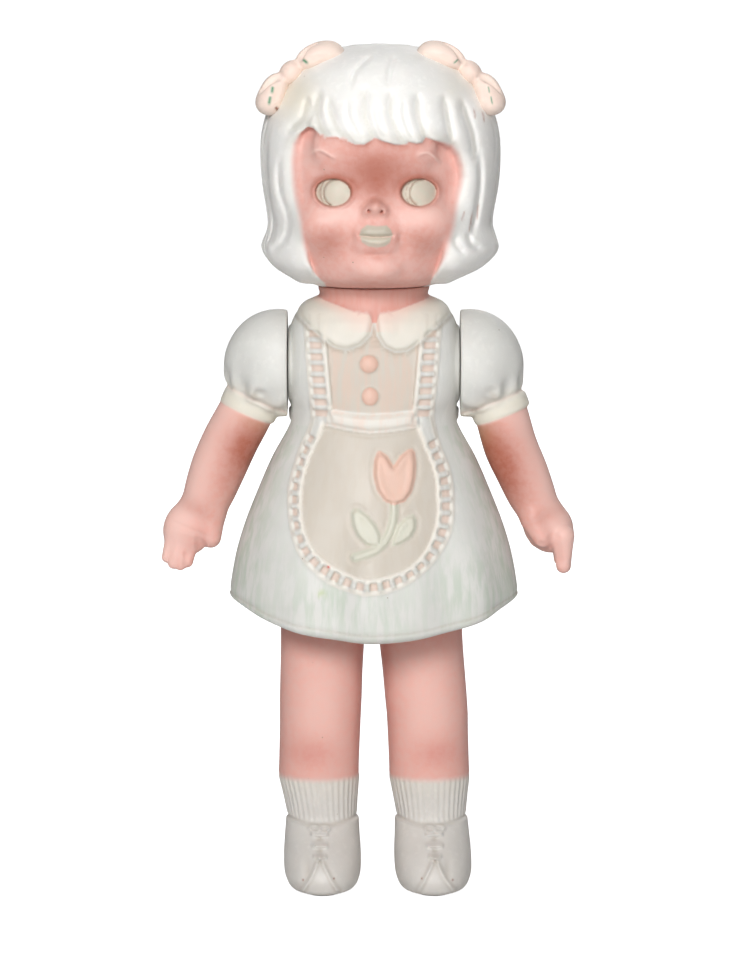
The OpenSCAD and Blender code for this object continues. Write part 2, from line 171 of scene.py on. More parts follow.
def outline(x, z, points):
    """Signed distance to a closed outline in the front view, negative inside."""
    nearest = np.full(np.broadcast(x, z).shape, 1e6, np.float32)
    inside = np.zeros(nearest.shape, bool)
    for (x0, z0), (x1, z1) in zip(points, points[1:] + points[:1]):
        ex, ez = x1 - x0, z1 - z0
        t = np.clip(((x - x0) * ex + (z - z0) * ez) / max(ex * ex + ez * ez, 1e-9), 0, 1)
        nearest = np.minimum(nearest, np.hypot(x - x0 - t * ex, z - z0 - t * ez))
        if z0 != z1:
            inside ^= ((z0 <= z) != (z1 <= z)) & (x < ex * (z - z0) / ez + x0)
    return np.where(inside, -nearest, nearest)


def nearest_line(x, z, *lines):
    """Distance from the nearest of several smooth lines."""
    return np.minimum.reduce([line(x, z, points)[0] for points in lines])


def nearest_outline(x, z, outlines):
    """Signed distance to the nearest of several closed outlines."""
    return np.minimum.reduce([outline(x, z, points) for points in outlines])


class Clay:
    """A block of places, in millimetres from a joint, and the distance of each from the surface."""

    def __init__(self, low, high, step):
        self.low = np.array(low, float)
        self.step = step * COARSE
        count = np.ceil((np.array(high) - self.low) / self.step).astype(int) + 1
        at = [(self.low[k] + self.step * np.arange(count[k])).astype(np.float32) for k in range(3)]
        self.x, self.y, self.z = at[0][:, None, None], at[1][None, :, None], at[2][None, None, :]
        self.d = np.full(count, 1e3, np.float32)

    @property
    def places(self):
        return self.x, self.y, self.z

    def figure(self, rows, x=None, z=None):
        """Distances of a body through rows of [z, half width, half depth, x, y, squareness]."""
        x = self.x if x is None else x
        z = self.z if z is None else z
        table = curve_through(rows, 8)
        a, b, cx, cy, p = (np.interp(z, table[:, 0], table[:, k]).astype(np.float32) for k in range(1, 6))
        field = ((np.abs(x - cx) / a) ** p + (np.abs(self.y - cy) / b) ** p) ** (1 / p) - 1
        return self.true_distance(field, table, z)

    def true_distance(self, field, table, z):
        """A field with its slope divided out, closed at the table's lowest and highest levels."""
        gx, gy, gz = np.gradient(field, self.step)
        slope = np.sqrt(gx * gx + gy * gy + gz * gz)
        ends = np.maximum(table[0, 0] - z, z - table[-1, 0])
        return np.maximum(field / np.maximum(slope, 1e-4), ends).astype(np.float32)

    def skin(self):
        """The surface as points in mm and quads of point numbers, their fronts outwards."""
        d = self.d
        solid = d < 0
        corners = [(i, j, k) for i in (0, 1) for j in (0, 1) for k in (0, 1)]
        n = np.array(d.shape) - 1

        def window(array, o):
            return array[o[0] : o[0] + n[0], o[1] : o[1] + n[1], o[2] : o[2] + n[2]]

        total = sum(window(solid, o).astype(np.uint8) for o in corners)
        active = (total > 0) & (total < 8)
        cells = np.argwhere(active)
        number = np.full(active.shape, -1, np.int32)
        number[active] = np.arange(len(cells))
        middle = np.zeros((len(cells), 3))
        crossings = np.zeros(len(cells))
        for axis in range(3):
            for o in corners:
                if o[axis]:
                    continue
                start = cells + o
                end = start.copy()
                end[:, axis] += 1
                d0, d1 = d[tuple(start.T)], d[tuple(end.T)]
                cross = (d0 < 0) != (d1 < 0)
                t = np.where(cross, d0 / np.where(cross, d0 - d1, 1), 0)
                place = np.array(o, float) + np.zeros((len(cells), 3))
                place[:, axis] += t
                middle += place * cross[:, None]
                crossings += cross
        points = cells + middle / crossings[:, None]
        quads = []
        for axis in range(3):
            u, v = (axis + 1) % 3, (axis + 2) % 3
            first = [slice(1, -1)] * 3
            first[axis] = slice(0, -1)
            second = list(first)
            second[axis] = slice(1, None)
            a, b = solid[tuple(first)], solid[tuple(second)]
            for flip in (False, True):
                hits = np.argwhere((a & ~b) if not flip else (b & ~a))
                offset = np.ones(3, int)
                offset[axis] = 0
                base = hits + offset
                ring = []
                for du, dv in ((0, 0), (-1, 0), (-1, -1), (0, -1)):
                    cell = base.copy()
                    cell[:, u] += du
                    cell[:, v] += dv
                    ring.append(number[tuple(cell.T)])
                quads.append(np.stack(ring[::-1] if flip else ring, 1))
        return self.low + points * self.step, np.vstack(quads)


def relaxed(points, quads):
    """The points, each moved part of the way to the middle of its neighbours."""
    start, end = np.vstack([quads[:, [k, (k + 1) % 4]] for k in range(4)]).T
    count = np.bincount(start, minlength=len(points)) + np.bincount(end, minlength=len(points))
    for share in SMOOTHING:
        total = np.stack([np.bincount(start, points[end, k], len(points))
                          + np.bincount(end, points[start, k], len(points)) for k in range(3)], 1)
        points = points + share * (total / count[:, None] - points)
    return points


def casting(name, clay, origin, side, body, node):
    """The clay as a mesh piece that rides on a body and stands for its CAD node."""
    points, quads = clay.skin()
    points = relaxed(points, quads)
    points[:, 0] *= side
    if side < 0:
        quads = quads[:, ::-1]
    mesh = bpy.data.meshes.new(name)
    world = (points + origin) / 1000
    mesh.vertices.add(len(world))
    mesh.vertices.foreach_set("co", world.astype(np.float32).ravel())
    mesh.loops.add(quads.size)
    mesh.loops.foreach_set("vertex_index", quads.astype(np.int32).ravel())
    mesh.polygons.add(len(quads))
    mesh.polygons.foreach_set("loop_start", np.arange(0, quads.size, 4, dtype=np.int32))
    mesh.update(calc_edges=True)
    piece = bpy.data.objects.new(name, mesh)
    bpy.context.scene.collection.objects.link(piece)
    if 2 * len(quads) > MOST_FACES:
        fewer = piece.modifiers.new("fewer", "DECIMATE")
        fewer.ratio = MOST_FACES / (2 * len(quads))
        graph = bpy.context.evaluated_depsgraph_get()
        piece.data = bpy.data.meshes.new_from_object(piece.evaluated_get(graph))
        piece.modifiers.clear()
    piece.data.polygons.foreach_set("use_smooth", np.ones(len(piece.data.polygons), bool))
    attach(piece, body)
    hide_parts(node)
    return piece


def vertices(piece, origin, side=1):
    """A piece's points, back in its own millimetres."""
    flat = np.zeros(3 * len(piece.data.vertices), np.float32)
    piece.data.vertices.foreach_get("co", flat)
    points = flat.reshape(-1, 3) * 1000 - origin
    return points[:, 0] * side, points[:, 1], points[:, 2]


def paint(piece, **masks):
    """Stores how strongly each colour covers each point of a piece, from 0 to 1."""
    for name, values in masks.items():
        stored = piece.data.attributes.new(name, "FLOAT", "POINT")
        full = np.broadcast_to(np.clip(values, 0, 1), (len(piece.data.vertices),))
        stored.data.foreach_set("value", full.astype(np.float32))


# ---------- head ----------

HEAD = joints["head_turn"]
DEEPEST_LOCK = -1.3  # so that the grooves don't cut through the wall
HAIR_X = 2.3  # the hair sits a little to the doll's left of the face
BOWS = np.array([HAIR_X, 0, -1.1])  # the point halfway between the bows, from the head's joint
FACE_ROWS = [
    [0.3, 19.4, 19.4, 0, 0, 2], [2.7, 23, 25.5, 0, -4.5, 2], [6, 26.5, 28.5, 0, -4.7, 2],
    [11.5, 30, 31.5, 0, -3.6, 2.1], [19.5, 33, 34.5, 0, -1.8, 2.2], [28.5, 34, 35.6, 0, 0, 2.2],
    [37.5, 34, 35.4, 0, 0, 2.1], [47.5, 33.6, 35.4, 0, 0, 2], [57.5, 31.6, 32.6, 0, 0, 2],
    [65.5, 27, 28, 0, 0, 2],
]
HAIR_ROWS = [
    [0.3, 19.8, 19.8, 0, 0, 2], [3, 29.4, 29.4, 0.8, 2, 2.1], [7.5, 37, 36.4, 1.6, 1, 2.2],
    [14, 40.4, 38.8, HAIR_X, 1, 2.2], [22.5, 38.8, 38.4, HAIR_X, 1, 2.1],
    [35.5, 40.8, 39.4, HAIR_X, 0.6, 2], [47.5, 41.4, 39.4, HAIR_X, 0.4, 2],
    [56.5, 40.2, 38.2, HAIR_X, 0.5, 2], [65.5, 36.6, 34.8, HAIR_X, 0.5, 2],
    [73.5, 30.6, 29.2, HAIR_X, 0.5, 2], [79.5, 21.6, 20.8, HAIR_X, 0.5, 2],
    [82.5, 11, 11, HAIR_X, 0.5, 2], [83.3, 2, 2, HAIR_X, 0.5, 2],
]
BANGS = [
    (-24.6, 53.4), (-22.4, 55.6), (-20.6, 55.4), (-18.6, 53.6), (-16.1, 52.5), (-12.6, 52.7),
    (-9.3, 51.5), (-6.3, 50.1), (-3.2, 50), (-0.8, 51.5), (0.4, 52.4), (2.9, 51.2), (7.2, 50),
    (10.8, 50), (11.7, 50.9), (14.4, 50.3), (16.3, 50.6), (17.5, 52.4), (19.9, 51.4), (23, 50.4),
    (26.4, 49),
]
FACE_SIDE = [
    (28.2, 46), (29.4, 42), (29.6, 38.6), (28.6, 32.5), (27.8, 27), (26.8, 21.3), (25.4, 16), (23.6, 11.6),
    (19.6, 3), (18, -6), (-15, -6), (-16.7, 2.2), (-19.8, 5.4), (-22, 10),
    (-23.8, 16.5), (-25, 25.4), (-26.4, 31), (-27.2, 36), (-27.6, 44), (-26.8, 49.6),
]
FACE_WINDOW = BANGS + FACE_SIDE
DEEP_LOCKS = [
    [(-22.4, 67), (-23.5, 59), (-28.6, 54.2)], [(-17.7, 69.5), (-19.2, 62.4), (-18, 56), (-15, 51.5)],
    [(-14.8, 67.5), (-14.8, 61.8), (-11.9, 55), (-7.2, 49.8)],
    [(-2.6, 71), (-3.3, 62), (-2, 56.6), (0.4, 51.6)],
    [(5.9, 70.1), (5.6, 61.5), (7.8, 54.8), (11.4, 49.6)], [(14.6, 68.9), (14.9, 59.7), (17.6, 51.4)],
    [(23.4, 67.7), (24.6, 59.7), (26.4, 50.2)], [(29, 67), (31.4, 59), (33.4, 53), (34.4, 45)],
]
FAINT_LOCKS = [
    [(0.2, 80.4), (-6.1, 74.6), (-7.9, 69.5)], [(7.8, 80.4), (5.4, 75.2), (4.6, 70.5)],
    [(-20.9, 64.5), (-21.2, 59.5), (-24.6, 55)], [(-9, 66), (-8.6, 59), (-5, 52.5)],
    [(10.2, 66), (10.4, 59), (13.4, 51.5)], [(1.4, 66), (1.2, 59), (4, 52.5)],
]
SIDE_LOCKS = [
    [(-30.6, 48), (-32.2, 42.7), (-32.5, 37.5), (-31.7, 32.3), (-29.6, 26.5), (-29, 21.8), (-30.6, 17),
     (-34, 13.6)],
    [(-36.6, 52), (-37.6, 40), (-36, 28), (-34.2, 22), (-35.4, 16.5)],
    [(27.4, 20), (28, 16), (30.6, 13.2)], [(32.2, 21), (33, 16.2), (36.4, 14)],
    [(35.6, 50), (36.4, 38), (35.2, 27), (33.4, 19)],
]
EYES = [(-13.7, 33.7, -12.3), (15.3, 33.7, 16.7)]  # x and z of the socket's middle, and x of the iris
EYE_RX, EYE_RZ, IRIS_R = 6.0, 4.6, 4.5
UPPER_LIP = [
    (-4.9, 19.4), (-4.2, 21.6), (-2.2, 23.1), (1, 22.6), (4.2, 22.9), (5.7, 21.4), (6.4, 19.3), (0.9, 19),
]
LOWER_LIP = [(-4.6, 19.2), (6, 19), (5.4, 17.1), (3.6, 15.9), (1, 15.5), (-1.8, 15.9), (-4, 17.3)]
MOUTH = [(-4.8, 19.6), (-2, 19.2), (0.9, 19), (4, 19.1), (6.3, 19.5)]
BROWS = [[(-21.9, 46.1), (-18.5, 48.3), (-13.3, 45.6)], [(13.6, 45.9), (18.1, 47.3), (22.2, 43.9)]]
NOSTRILS = [(-1.7, 27.3), (2.7, 27)]
SCUFFS = [
    [(34, 62), (34.4, 58.5)], [(37, 61), (37.6, 57)], [(33.6, 27), (32.4, 20)],
    [(31, 27.6), (29.8, 23.6)], [(35.6, 30), (35.2, 24)],
]


def bands(x, z, lines, width):
    """The strongest ridge of several lines that fade at their ends."""
    strength = np.zeros(np.broadcast(x, z).shape, np.float32)
    for points in lines:
        away, place, length = line(x, z, points)
        fade = ease(0, 0.3 * length, place) * (0.5 + 0.5 * ease(0, 0.15 * length, length - place))
        strength = np.maximum(strength, ridge(away, width) * fade)
    return strength


def eye_rings(x, z, cx, cz, iris_x):
    """Distances from the middle of an eye's socket and of its iris, where 1 is the rim."""
    socket = np.hypot((x - cx) / EYE_RX, (z - cz) / EYE_RZ)
    return socket, np.hypot(x - iris_x, z - cz + 0.2) / IRIS_R


def face_height(x, z):
    """The face's own relief in the front view: eyes, lips and brows."""
    h = np.zeros(np.broadcast(x, z).shape, np.float32)
    for eye in EYES:
        r, iris = eye_rings(x, z, *eye)
        inside = ease(1.05, 0.95, r)
        h = h + 0.45 * ridge(r - 1.15, 0.1) - inside * (1.9 - 1.3 * np.clip(1 - r * r, 0, 1))
        h = h + 1.0 * ease(1.04, 0.95, iris) * inside + 0.45 * ridge(iris - 1.2, 0.05) * inside
    upper, lower = outline(x, z, UPPER_LIP), outline(x, z, LOWER_LIP)
    h = h + 1.25 * ease(0.5, -1.8, upper) + 1.5 * ease(0.6, -2.1, lower)
    h = h - 1.1 * ridge(nearest_line(x, z, MOUTH), 0.5)
    h = h - 0.7 * spot(x, z, 0.8, 13, 4.6, 1.3) - 0.5 * spot(x, z, 0.2, 24.6, 0.9, 1.3)
    h = h - 0.6 * (spot(x, z, -7.2, 18.9, 1.1, 1.8) + spot(x, z, 8.8, 18.8, 1.1, 1.8))
    return h + 0.8 * bands(x, z, BROWS, 0.7)


def back_locks(x, y, z):
    """Locks that run down the sides and back of the hair, about their middles."""
    angle = np.arctan2(x, y)
    wave = 0.35 * np.sin(z / 13 + 3 * np.sin(2.3 * angle)) + 0.12 * np.sin(z / 5 + 9 * angle)
    u = angle * 18 / np.pi + wave
    cell = np.round(u)
    groove = ridge((u - cell) * 7, 1.1) * (0.65 + 0.35 * np.sin(cell * 12.9))
    strands = 0.12 * np.cos(u * 2 * np.pi * 4 + 0.6 * np.sin(z / 7))
    return groove, strands


def sculpt_head():
    clay = Clay((-45, -43, -1), (47, 43, 86), 0.5)
    x, y, z = clay.places
    flat_x, flat_z = x[:, :, 0], z[0]
    face = clay.figure(FACE_ROWS)
    for side in (-1, 1):
        face = join(face, ball(x, y, z, (16.5 * side + 0.5, -26, 22.5), (10, 10, 7.5)), 6)
        face = carve(face, ball(x, y, z, (14.6 * side + 0.6, -39.2, 36.5), (9, 4.6, 7)), 4.5)
        face = carve(face, ball(x, y, z, (10.5 * side + 0.6, -41, 14), (4.5, 5, 5)), 4)
    face = join(face, ball(x, y, z, (0.4, -30.5, 50), (20, 6, 11)), 6)
    face = join(face, ball(x, y, z, (0.7, -34.4, 19.4), (7.4, 4.2, 6.4)), 3.6)
    face = join(face, ball(x, y, z, (0.4, -32, 8.6), (7.5, 4.6, 4)), 4)
    hair = clay.figure(HAIR_ROWS)
    window = outline(flat_x, flat_z, FACE_WINDOW)[:, None, :]
    front = ease(-4, -12, y)
    cut = np.maximum(window, y + 9)
    inner = join(face + WALL, carve(hair + WALL, cut - WALL))

    lock = np.zeros(window.shape, np.float32)
    lock -= 0.9 * bands(flat_x, flat_z, DEEP_LOCKS, 1.1)[:, None, :]
    lock -= 1.0 * bands(flat_x, flat_z, DEEP_LOCKS, 2.4)[:, None, :]
    lock -= 0.8 * bands(flat_x, flat_z, FAINT_LOCKS, 0.9)[:, None, :]
    lock -= 1.2 * bands(flat_x, flat_z, SIDE_LOCKS, 1.1)[:, None, :]
    lock = np.maximum(lock, DEEPEST_LOCK)
    lock += 0.9 * ease(5, 0, window) * ease(44, 50, z)
    groove, strands = back_locks(x, y, z)
    behind = ease(-16, -4, y) * ease(82, 72, z)
    hair = hair - lock * front - behind * (strands - 1.15 * groove * ease(2, 9, z))
    flick = 0.9 * ridge(z - 13, 3.5) * (0.5 + 0.5 * np.sin(np.arctan2(x, y) * 36 / np.pi))
    hair = hair - flick * ease(-20, -10, y)

    beside = ease(20, 26, np.abs(x)) * ease(58, 48, z)
    hair = carve(hair, cut, 2.4 + 4.5 * beside)
    face = face - face_height(flat_x, flat_z)[:, None, :] * front
    nose = ball(x, y, z, (0.6, -36.6, 28.9), (2.6, 3.1, 2.4))
    for cx in (-1.9, 3.1):
        nose = join(nose, ball(x, y, z, (cx, -36.4, 27.7), (1.5, 2.2, 1.5)), 1.2)
    face = join(face, nose, 2.6)
    for cx, cz in NOSTRILS:
        face = carve(face, rod(x, y, z, (cx, -42, cz - 0.6), (cx, -36.8, cz + 0.9), 0.75, 0.45), 0.7)
    clay.d = join(face, hair, 0.9 + 4.0 * beside)

    across = np.hypot(x, y)
    spigot_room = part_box("neck_ring")[0].z * 1000 - HEAD[2]
    ceiling = spigot_room + 0.8
    hollow = np.maximum(inner, np.maximum(ceiling + WALL - z, z - 79))
    clay.d = carve(clay.d, hollow)
    clay.d = carve(clay.d, drum(z, across, -9, ceiling, SOCKET_R), 0.4)
    clay.d = carve(clay.d, drum(z, across, -9, 30, STRINGING_R), 0.4)
    return clay


def paint_head(piece):
    x, y, z = vertices(piece, HEAD)
    window = outline(x, z, FACE_WINDOW)
    out = np.hypot(x, y) > 19
    soft = 0.3 + 1.3 * ease(20, 25, np.abs(x)) * ease(56, 48, z)
    skin = ease(1, -1, window / soft) * ease(-8, -10, y)
    upper = soft_edge(outline(x, z, UPPER_LIP))
    lips = np.maximum(upper, soft_edge(outline(x, z, LOWER_LIP)))
    # Deep rose: blush on the forehead, between the eyes and on the cheeks, and painted shade in the recesses:
    # above and round the eyes, at the mouth's corners, in the chin's crease, under the chin, along the hair's
    # edge and in the nostrils.
    deep = 0.95 * spot(x, z, 0.8, 42, 12, 7.5) + 0.55 * spot(x, z, 0.6, 33, 6, 6)
    eyes, rims = np.zeros_like(x), np.zeros_like(x)
    for eye in EYES:
        above = z - eye[1]
        r, iris = eye_rings(x, z, *eye)
        eyes = np.maximum(eyes, ease(1.0, 0.93, r))
        deep = deep + 0.5 * ridge(r - 1.2, 0.35) * ease(-3, 4, above) + 0.3 * ridge(r - 1.1, 0.2)
        # Painted shade: a dark line round each eye's socket, darkest under the upper lid, and dark rings in
        # the groove round each iris.
        rims = np.maximum(rims, ridge(r - 1.01, 0.045) * (0.6 + 0.4 * ease(-2, 3, above)))
        rims = np.maximum(rims, 0.6 * (ridge(iris - 1.05, 0.035) + ridge(iris - 1.3, 0.035)) * (r < 1))
    deep = deep + 0.6 * spot(x, z, -15, 17, 6, 6) + 0.5 * spot(x, z, 16.5, 17, 5.5, 5.5)
    deep = deep + 0.25 * spot(x, z, -6.6, 19, 1.5, 2.4) + 0.3 * spot(x, z, 8, 18.6, 1.6, 2.4)
    deep = deep + 0.35 * ridge(window, 1.4) * ease(20, 34, z) + 0.35 * spot(x, z, 0.8, 12.6, 6, 1.8)
    deep = deep + 0.35 * spot(x, z, 0.5, 2.5, 14, 2.5)
    for cx, cz in NOSTRILS:
        deep = deep + 0.7 * spot(x, z, cx, cz, 0.9, 0.8)
    # Painted highlights: paler paint on the cheeks under the eyes, the nose's tip, the chin, the temples and
    # the brow ridges.
    pale = 0.75 * spot(x, z, -14, 26, 7, 3) + 0.75 * spot(x, z, 18, 26, 7, 3)
    pale = pale + 0.5 * spot(x, z, 0.6, 28.6, 5, 3) + 0.4 * spot(x, z, 0.8, 8, 8, 3)
    pale = pale + 0.4 * spot(x, z, -22, 46, 4, 6) + 0.3 * spot(x, z, 22, 44, 4, 5)
    pale = pale + 0.9 * bands(x, z, BROWS, 0.5)
    groove = bands(x, z, DEEP_LOCKS, 0.8) * ease(-6, -12, y)
    back_groove, _ = back_locks(x, y, z)
    groove = np.maximum(groove, back_groove * 0.7 * ease(-16, -4, y) * ease(82, 72, z))
    # Painted shade: a grey band on the hair along the face's sides, where the hair curves in to meet it.
    edge = ridge(window - 0.8, 2.4) * (y < -6) * ease(58, 46, z)
    # Painted shade: darker grey at the lower ends of the bangs' locks, where they hang over the face.
    tips = ridge(window - 1.4, 1.8) * (y < -16) * ease(46, 50, z)
    beige = np.clip(1.1 * spot(x, z, -27, 66, 8, 8) + 0.4 * spot(x, z, 28, 70, 6, 6), 0, 1) * (y < 8)
    scuff = bands(x, z, SCUFFS, 0.3) * (y < 0)
    hair = 1 - skin
    paint(piece, skin=skin * out, eyes=eyes * skin, rims=rims * skin, lips=lips * skin, upper=upper * skin,
          deep=deep * skin, pale=pale * skin, groove=groove * hair, edge=edge * hair, tips=tips * hair,
          beige=beige * hair, scuff=scuff * hair)


# ---------- hair bows ----------


def sculpt_bow():
    """A ribbon's knot and two loops over the temple, in millimetres from the middle of the hair."""
    clay = Clay((8, -24, 54), (46, 4, 88), 0.36)
    x, y, z = clay.places
    knot = ball(x, y, z, (30.6, -10.5, 74.8), (4.6, 5, 3.7), 46)
    upper = ball(x, y, z, (21.8, -10, 80.4), (7.8, 7, 4.4), 24)
    upper = join(upper, ball(x, y, z, (16.6, -10.5, 81.2), (4.2, 5, 2.9), 8), 3)
    lower = ball(x, y, z, (36.6, -10.6, 68), (4.7, 6.8, 7), -26)
    lower = join(lower, ball(x, y, z, (38, -11.2, 64.2), (4.4, 6.2, 3.8), 0), 3)
    clay.d = join(join(upper, lower), knot, 0.9)
    creases = [
        ((28, -18, 77), (21.4, -17.4, 80)), ((28.4, -14, 79.4), (22, -12, 84.4)),
        ((33.6, -18, 72), (35.6, -18, 66)), ((35.4, -15, 73.4), (40.4, -14.4, 68.6)),
    ]
    for start, end in creases:
        clay.d = carve(clay.d, rod(x, y, z, start, end, 1.5, 0.4), 1.6)
    centred = [[*row[:3], 0, *row[4:]] for row in HAIR_ROWS]
    clay.d = carve(clay.d, clay.figure(centred, z=z + BOWS[2]) + 1.2)
    return clay


def paint_bow(piece, origin, side):
    x, y, z = vertices(piece, origin, side)
    flecks = [[(36.6, 70.4), (37, 68)], [(37.4, 67.2), (38, 64.2)], [(26.6, 79.4), (25, 78)]]
    green = bands(x, z, flecks, 0.5 if side < 0 else 0.25) * (y < -6)
    scratch = bands(x, z, [[(36, 63.4), (34.6, 61.4)]], 0.5) * (side < 0)
    pink = 0.7 * spot(x, z, 31, 75, 4, 3.6) + 0.5 * spot(x, z, 23, 81, 6, 4)
    pink = pink + 0.5 * spot(x, z, 37.6, 67, 4, 5)
    paint(piece, green=green, scratch=scratch, pink=pink)


# ---------- body and dress ----------

TORSO = np.array([0, 0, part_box("body_and_dress")[0].z * 1000 + FLOOR_ABOVE_HEM])
SIDE_PROFILE = [
    [-7, 49.4], [-3, 49.9], [9, 47.9], [20, 44.7], [31.5, 40.2], [43, 35.2], [54.5, 29], [60, 28.6],
    [66, 29], [74, 29.6], [82, 29.4], [88, 28.6], [91, 27.8], [94, 26], [96.8, 23], [98.6, 20], [99.6, 18],
]
FRONT_PROFILE = [
    [-17.5, 38], [-11.9, 38.3], [3.75, 36], [16.85, 33], [30.2, 29.6], [42.7, 25.8], [54.5, 22.8],
    [60, 22.2], [66, 21.8], [74, 21.4], [82, 20.6], [89, 19.4], [92.3, 18.3], [96, 16.4], [99.6, 13],
]
SQUARENESS = [[-17.5, 2], [43, 2], [54.5, 2.1], [60, 2.2], [66, 3], [74, 3.4], [82, 3.4], [89, 3], [94, 2.5],
              [97, 2.2], [99.6, 2]]
COLLARS = [
    [(-31, 97), (-24.2, 91.4), (-19, 86.9), (-13.5, 82.9), (-9.3, 82), (-4.5, 83.6), (-1.2, 87), (-0.2, 91.5),
     (-0.2, 104), (-31, 104)],
    [(0.6, 104), (0.6, 91.5), (1.3, 86.8), (3.8, 83), (7.4, 81.2), (11.4, 81.6), (16.2, 85), (22.5, 90.3),
     (31, 97), (31, 104)],
]
STRAPS = [
    [(-23.7, 94), (-20.9, 58), (-14.6, 58), (-14.6, 62), (-17.2, 94)],
    [(23, 94), (19.9, 58), (13.8, 58), (13.8, 61.5), (16.6, 94)],
]
STRAP_PIPING = [[(-17.4, 93), (-16.9, 82.9), (-14.9, 61.4)], [(16.9, 93), (16.2, 83.9), (14.1, 61)]]
STRAP_EDGES = [[(-23.5, 93), (-22.4, 77), (-20.9, 58.5)], [(22.8, 93), (21.6, 77), (19.9, 58.5)]]
BIB = [(-16.9, 93), (-14.6, 61.6), (-0.7, 59.9), (13.9, 61.3), (16.4, 93)]
WAISTBAND = [
    (-15.6, 61.8), (-8, 60.5), (-0.7, 60.1), (7, 60.4), (14.9, 61.5), (14.9, 55.2), (7, 54),
    (-1.4, 53.4), (-9, 54.3), (-16.6, 55.8),
]
APRON_EDGE = [
    (-17.4, 56.5), (-19.2, 52), (-22.6, 44.9), (-25, 36.3), (-25.4, 29.4), (-24.4, 20.9),
    (-20.6, 13.7), (-15.4, 9.2), (-7.5, 5.4), (-1.4, 4.4), (6.2, 5.8), (12.7, 8.5), (18.5, 14.4),
    (22, 23.3), (22.3, 31.8), (21.3, 40.4),
    (17.5, 50), (15.2, 55.5),
]
RUFFLE_EDGE = [
    (-20.9, 58.5), (-21.7, 55), (-25, 47.3), (-27.8, 38.4), (-29, 30.5), (-27.6, 19.2),
    (-23.9, 11), (-15.6, 3.8), (-7.5, 0.8), (-0.3, 0.1), (7.4, 1.8), (14.9, 5.8), (21.5, 12),
    (25.9, 20.2), (27, 30.5), (25.6, 40.4),
    (22.2, 49), (19.9, 58.5),
]
TULIP = [
    (1.3, 47.7), (2.4, 47.6), (4.6, 46.1), (6.7, 42.6), (9, 45.9), (11.6, 48), (13.2, 48.2),
    (14.2, 46.8), (14.6, 43.5), (14.4, 38.5), (13.1, 33.8), (10.6, 30.6), (7.1, 29.6), (3.8, 30.7),
    (1, 34.6), (-0.2, 39.4), (0, 44.4),
]
STEM_R = 1.6
STEM = [(6.9, 30.4), (6.7, 25), (5, 19.6), (1, 14.9), (-6.4, 12.1)]
LEAVES = [
    [(-6.9, 28.5), (-5.2, 28.6), (-2.2, 26.5), (0.8, 23.2), (2.6, 19.6), (2.5, 15.9), (0.4, 15.6),
     (-2.8, 16.4), (-5.8, 19.2), (-7.6, 23), (-7.9, 26.8)],
    [(13.4, 26.6), (14.5, 25), (14.5, 21.4), (12.6, 18.4), (9.2, 16.4), (5.8, 15.7), (6.6, 19), (8, 22.8),
     (10.8, 25.6)],
]
BUTTONS = [(-1.7, 77.1, 3.2, 3.1), (-1.3, 66, 2.9, 3.2)]
SASH_LOOP = [(0, 60), (5, 64.5), (12, 66), (15.5, 62), (14, 56), (8, 54.5), (2, 56.5)]
SASH_TAIL = [(0.5, 58), (3.5, 56), (9, 40), (12, 27), (8.2, 29), (4.4, 25), (2.4, 40)]
PLEAT, STRAP_PLEAT = 4.1, 3.9  # from one ridge of a ruffle to the next


def pleats(place, pitch=PLEAT):
    """1 on each ridge of a ruffle and 0 in the hollows between."""
    return ease(0.35, 0.85, 0.5 + 0.5 * np.cos(2 * np.pi * place / pitch))


def strap_cover(x, z):
    return soft_edge(nearest_outline(x, z, STRAPS), 0.4)


def strap_bars(z):
    return pleats(z + 0.5, STRAP_PLEAT)


def ruffle_cover(x, z):
    ring = np.maximum(outline(x, z, RUFFLE_EDGE), -outline(x, z, APRON_EDGE))
    return soft_edge(ring, 0.5)


def apron_height(x, z):
    """Relief of the bib, straps, waistband, ruffle and tulip in the front view."""
    straps, ruffle = strap_cover(x, z), ruffle_cover(x, z)
    apron = ease(0.4, -0.6, outline(x, z, APRON_EDGE))
    band = outline(x, z, WAISTBAND)
    _, place, _ = line(x, z, APRON_EDGE[1:-1])
    folds = pleats(place)
    h = 0.25 * soft_edge(outline(x, z, BIB), 0.4)
    h = np.maximum(h, straps * (0.4 + 1.0 * strap_bars(z)))
    h = np.maximum(h, ruffle * (0.35 + 1.25 * folds))
    h = np.maximum(h, 0.85 * apron)
    h = np.maximum(h, 1.6 * ease(1.4, 0.4, nearest_line(x, z, *STRAP_PIPING)) * ease(60, 62, z))
    h = np.maximum(h, 0.75 * ease(1.2, 0.3, nearest_line(x, z, *STRAP_EDGES)))
    h = np.maximum(h, 0.75 * ease(1.3, 0.3, nearest_line(x, z, RUFFLE_EDGE)))
    h = np.maximum(h, 1.6 * ease(1.0, 0.3, nearest_line(x, z, APRON_EDGE)))
    h = np.maximum(h, 2.3 * ease(0.3, -2.4, band))
    h = h - 0.6 * ridge(band - 0.9, 0.6) * (band > 0)
    flower = outline(x, z, TULIP)
    stem = nearest_line(x, z, STEM) - STEM_R
    leaf = nearest_outline(x, z, LEAVES)
    h = h - 0.35 * ridge(np.minimum(flower, np.minimum(stem, leaf)) - 0.5, 0.6)
    h = np.maximum(h, 2.35 * ease(0.4, -1.5, flower) - 0.35 * ease(-1.6, -4, flower))
    h = np.maximum(h, 1.75 * ease(0.5, -1.2, stem))
    h = np.maximum(h, 1.95 * ease(0.4, -1.3, leaf) - 0.3 * ease(-1.3, -2.6, leaf))
    for cx, cz, rx, rz in BUTTONS:
        r = np.hypot((x - cx) / rx, (z - cz) / rz)
        h = h - 0.45 * ridge(r - 1.16, 0.14)
        h = np.maximum(h, 0.25 + 1.75 * np.sqrt(np.clip(1 - r * r, 0, 1)))
    return h


